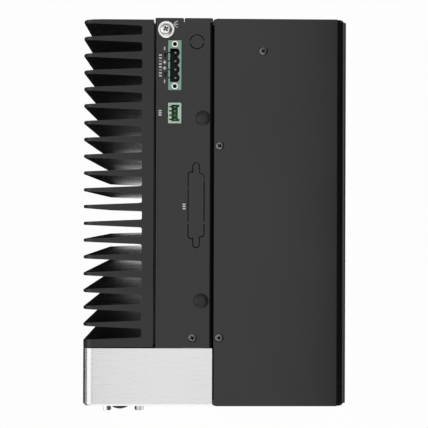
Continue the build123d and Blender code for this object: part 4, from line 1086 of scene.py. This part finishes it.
# Earth mark: a stem, a cross bar and three legs
earth_x, earth_y = ground.x + 5.1, ground.y + 3.2
earth_stroke, earth_leg = 0.5, 1.9
bar(earth_x - 1.0, earth_y, earth_leg, earth_stroke)
bar(earth_x, earth_y, earth_stroke, 2.8, layer=1)
for k in (-1, 0, 1):
    bar(earth_x + 1.05, earth_y + 1.5 * k, earth_leg, earth_stroke, radians(35 * k))
marks.piece("Plate_print", [white_print], slot="plain_aluminium")

# ---------------------------------------------------------------- Floor and cards
# The floor is lit by the lamps, and glows white where it is seen or mirrored
floor_glow = 0.975
floor_finish = Finish("studio_floor")
pale = floor_finish.spread(floor_finish.noise(400.0), 0.0, 1.0)
floor_finish.colour(floor_finish.blend(pale, srgb(240, 240, 240), srgb(246, 246, 246)))
floor_finish.shader.inputs["Roughness"].default_value = 0.9
paths = floor_finish.node("LightPath")
seen = floor_finish.sums(
    floor_finish.sums(paths.outputs["Is Camera Ray"], paths.outputs["Is Glossy Ray"]),
    paths.outputs["Is Transmission Ray"],
)
glow_share = floor_finish.sums(
    floor_finish.sums(seen, 1.0, "MINIMUM"), floor_glow, "MULTIPLY"
)
glow = floor_finish.node("Emission")
glow.inputs["Strength"].default_value = 1.0
mixed = floor_finish.node("MixShader")
floor_finish.join(glow_share, mixed.inputs["Fac"])
floor_finish.join(floor_finish.shader.outputs["BSDF"], mixed.inputs[1])
floor_finish.join(glow.outputs["Emission"], mixed.inputs[2])
output = floor_finish.tree.nodes["Material Output"]
floor_finish.join(mixed.outputs["Shader"], output.inputs["Surface"])


def studio_sheet(name, x_ends, y_ends, height, finish):
    """A level sheet of the studio, in metres."""
    (x0, x1), (y0, y1) = x_ends, y_ends
    mesh = bpy.data.meshes.new(name)
    mesh.from_pydata(
        level([(x0, y0), (x1, y0), (x1, y1), (x0, y1)], height), [], [(0, 1, 2, 3)]
    )
    mesh.materials.append(finish.material)
    made = bpy.data.objects.new(name, mesh)
    bpy.context.scene.collection.objects.link(made)
    return made


def card(name, x_low, x_high, half_width, finish):
    """A card just above the floor, seen only in the object's reflections."""
    made = studio_sheet(name, (x_low, x_high), (-half_width, half_width), 0.001, finish)
    made.visible_camera = False
    made.visible_shadow = False
    made.visible_transmission = False


floor_reach = 6.0
floor_ends = (-floor_reach, floor_reach)
floor = studio_sheet("Studio_floor", floor_ends, floor_ends, 0.0, floor_finish)

# Seen in reflections, the floor left of the object is dark. Below the fins a card glows, lighter
# towards their roots, most of all in the middle of the row: a painted glow, no lamp, lighting the
# fins' reflections
painted_glow_strength = 1.5
glow_card_dark_x, glow_card_light_x = -0.074, -0.046
glow_card_middle_y = 0.004
glow_card_near, glow_card_far, far_share = 0.03, 0.07, 0.2
card_with_painted_glow = Finish("card_with_painted_glow")
glow_card_place = card_with_painted_glow.node("SeparateXYZ")
card_with_painted_glow.join(card_with_painted_glow.place, glow_card_place.inputs["Vector"])
off_middle = card_with_painted_glow.sums(
    card_with_painted_glow.sums(glow_card_place.outputs["Y"], -glow_card_middle_y), 0.0, "ABSOLUTE"
)
lightness = card_with_painted_glow.sums(
    card_with_painted_glow.spread(glow_card_place.outputs["X"], 0.0, painted_glow_strength, glow_card_dark_x, glow_card_light_x),
    card_with_painted_glow.spread(off_middle, 1.0, far_share, glow_card_near, glow_card_far),
    "MULTIPLY",
)
card_with_painted_glow.colour(card_with_painted_glow.blend(lightness, srgb(22, 22, 22), srgb(240, 240, 240)))
# Painted glow: the card emits light where it is light, though it is no lamp
card_with_painted_glow.shader.inputs["Emission Color"].default_value = (1.0, 1.0, 1.0, 1.0)
card_with_painted_glow.join(lightness, card_with_painted_glow.shader.inputs["Emission Strength"])
card_with_painted_glow.roughness(card_with_painted_glow.spread(card_with_painted_glow.noise(3.0), 0.9, 1.0))
card("Dark_card", -1.2, x_tip * MM, 0.4, card_with_painted_glow)
card("Fin_card", x_tip * MM, x_slab * MM, -y_front * MM, card_with_painted_glow)

grey_paper = Finish("grey_paper")
paper_grain = grey_paper.noise(20.0)
grey_paper.colour(grey_paper.blend(paper_grain, srgb(150, 150, 150), srgb(158, 158, 158)))
grey_paper.shader.inputs["Roughness"].default_value = 0.9
card("Grey_card", 0.15, 0.7, 0.25, grey_paper)

# ---------------------------------------------------------------- World, lamps and camera
# The studio is light before and behind the object, and dark to its sides and overhead
studio_dark = 0.04
studio_light = 0.5
world = bpy.data.worlds.new("Studio")
bpy.context.scene.world = world
world.use_nodes = True
world_nodes = world.node_tree.nodes
links = world.node_tree.links


def ramp(value, start, end):
    """A world node that rises from 0 to 1 while the value goes from start to end."""
    remap = world_nodes.new("ShaderNodeMapRange")
    remap.interpolation_type = "SMOOTHSTEP"
    remap.inputs["From Min"].default_value = start
    remap.inputs["From Max"].default_value = end
    links.new(value, remap.inputs["Value"])
    return remap.outputs["Result"]


def world_math(operation, *values):
    """A world node that works out one number from others."""
    math = world_nodes.new("ShaderNodeMath")
    math.operation = operation
    for socket, value in zip(math.inputs, values):
        if isinstance(value, float):
            socket.default_value = value
        else:
            links.new(value, socket)
    return math.outputs[0]


# Each ramp runs between two shares of the direction's length
direction = world_nodes.new("ShaderNodeTexCoord")
parts = world_nodes.new("ShaderNodeSeparateXYZ")
links.new(direction.outputs["Generated"], parts.inputs["Vector"])
aside = ramp(world_math("ABSOLUTE", parts.outputs["Y"]), 0.35, 0.6)
below = ramp(parts.outputs["Z"], 0.75, 0.55)
lightness = world_math("MULTIPLY", aside, below)
studio = world_math("MULTIPLY_ADD", lightness, studio_light - studio_dark, studio_dark)
# Where the camera sees past the floor, it is white
world_paths = world_nodes.new("ShaderNodeLightPath")
strength = world_nodes.new("ShaderNodeMix")
strength.inputs["B"].default_value = 1.0
links.new(studio, strength.inputs["A"])
links.new(world_paths.outputs["Is Camera Ray"], strength.inputs["Factor"])
background = world_nodes["Background"]
background.inputs["Color"].default_value = (1.0, 1.0, 1.0, 1.0)
links.new(strength.outputs["Result"], background.inputs["Strength"])


def lamp(name, location, aim, size, brightness):
    """A soft box of a width and height in metres, aimed at a point, with a face this bright."""
    light = bpy.data.lights.new(name, "AREA")
    light.shape = "RECTANGLE"
    light.size, light.size_y = size
    light.energy = 4 * brightness * size[0] * size[1]
    made = bpy.data.objects.new(name, light)
    made.location = location
    made.rotation_euler = (Vector(aim) - Vector(location)).to_track_quat("-Z", "Y").to_euler()
    bpy.context.scene.collection.objects.link(made)


lamp("Overhead_soft_box", (-0.025, 0.0, 1.6), (-0.025, 0.0, 0.0), (0.61, 1.5), 0.88)
lamp("Left_soft_box", (-1.2, 0.0, 1.3), (-0.05, 0.0, 0.15), (1.5, 1.7), 1.05)
lamp("Front_soft_box", (-0.1, -1.3, 0.35), (0, 0, 0.15), (1.6, 0.6), 1.0)
lamp("Right_fill", (1.4, 0.0, 0.2), (0, 0, 0.1), (1.6, 0.4), 0.5)

# The camera looks down, fitted to the edges of the top plates in the photograph
camera_spot = (-0.01198, -0.00053, 0.81127)
camera_turn = Euler((radians(0.177), radians(-1.054), radians(0.201)), "XYZ")
focal_length = 87.3
camera_data = bpy.data.cameras.new("Camera")
camera_data.sensor_width = 36.0
camera_data.lens = focal_length
camera = bpy.data.objects.new("Camera", camera_data)
camera.location = camera_spot
camera.rotation_euler = camera_turn
bpy.context.scene.collection.objects.link(camera)
bpy.context.scene.camera = camera
bpy.context.scene.view_settings.view_transform = "Standard"
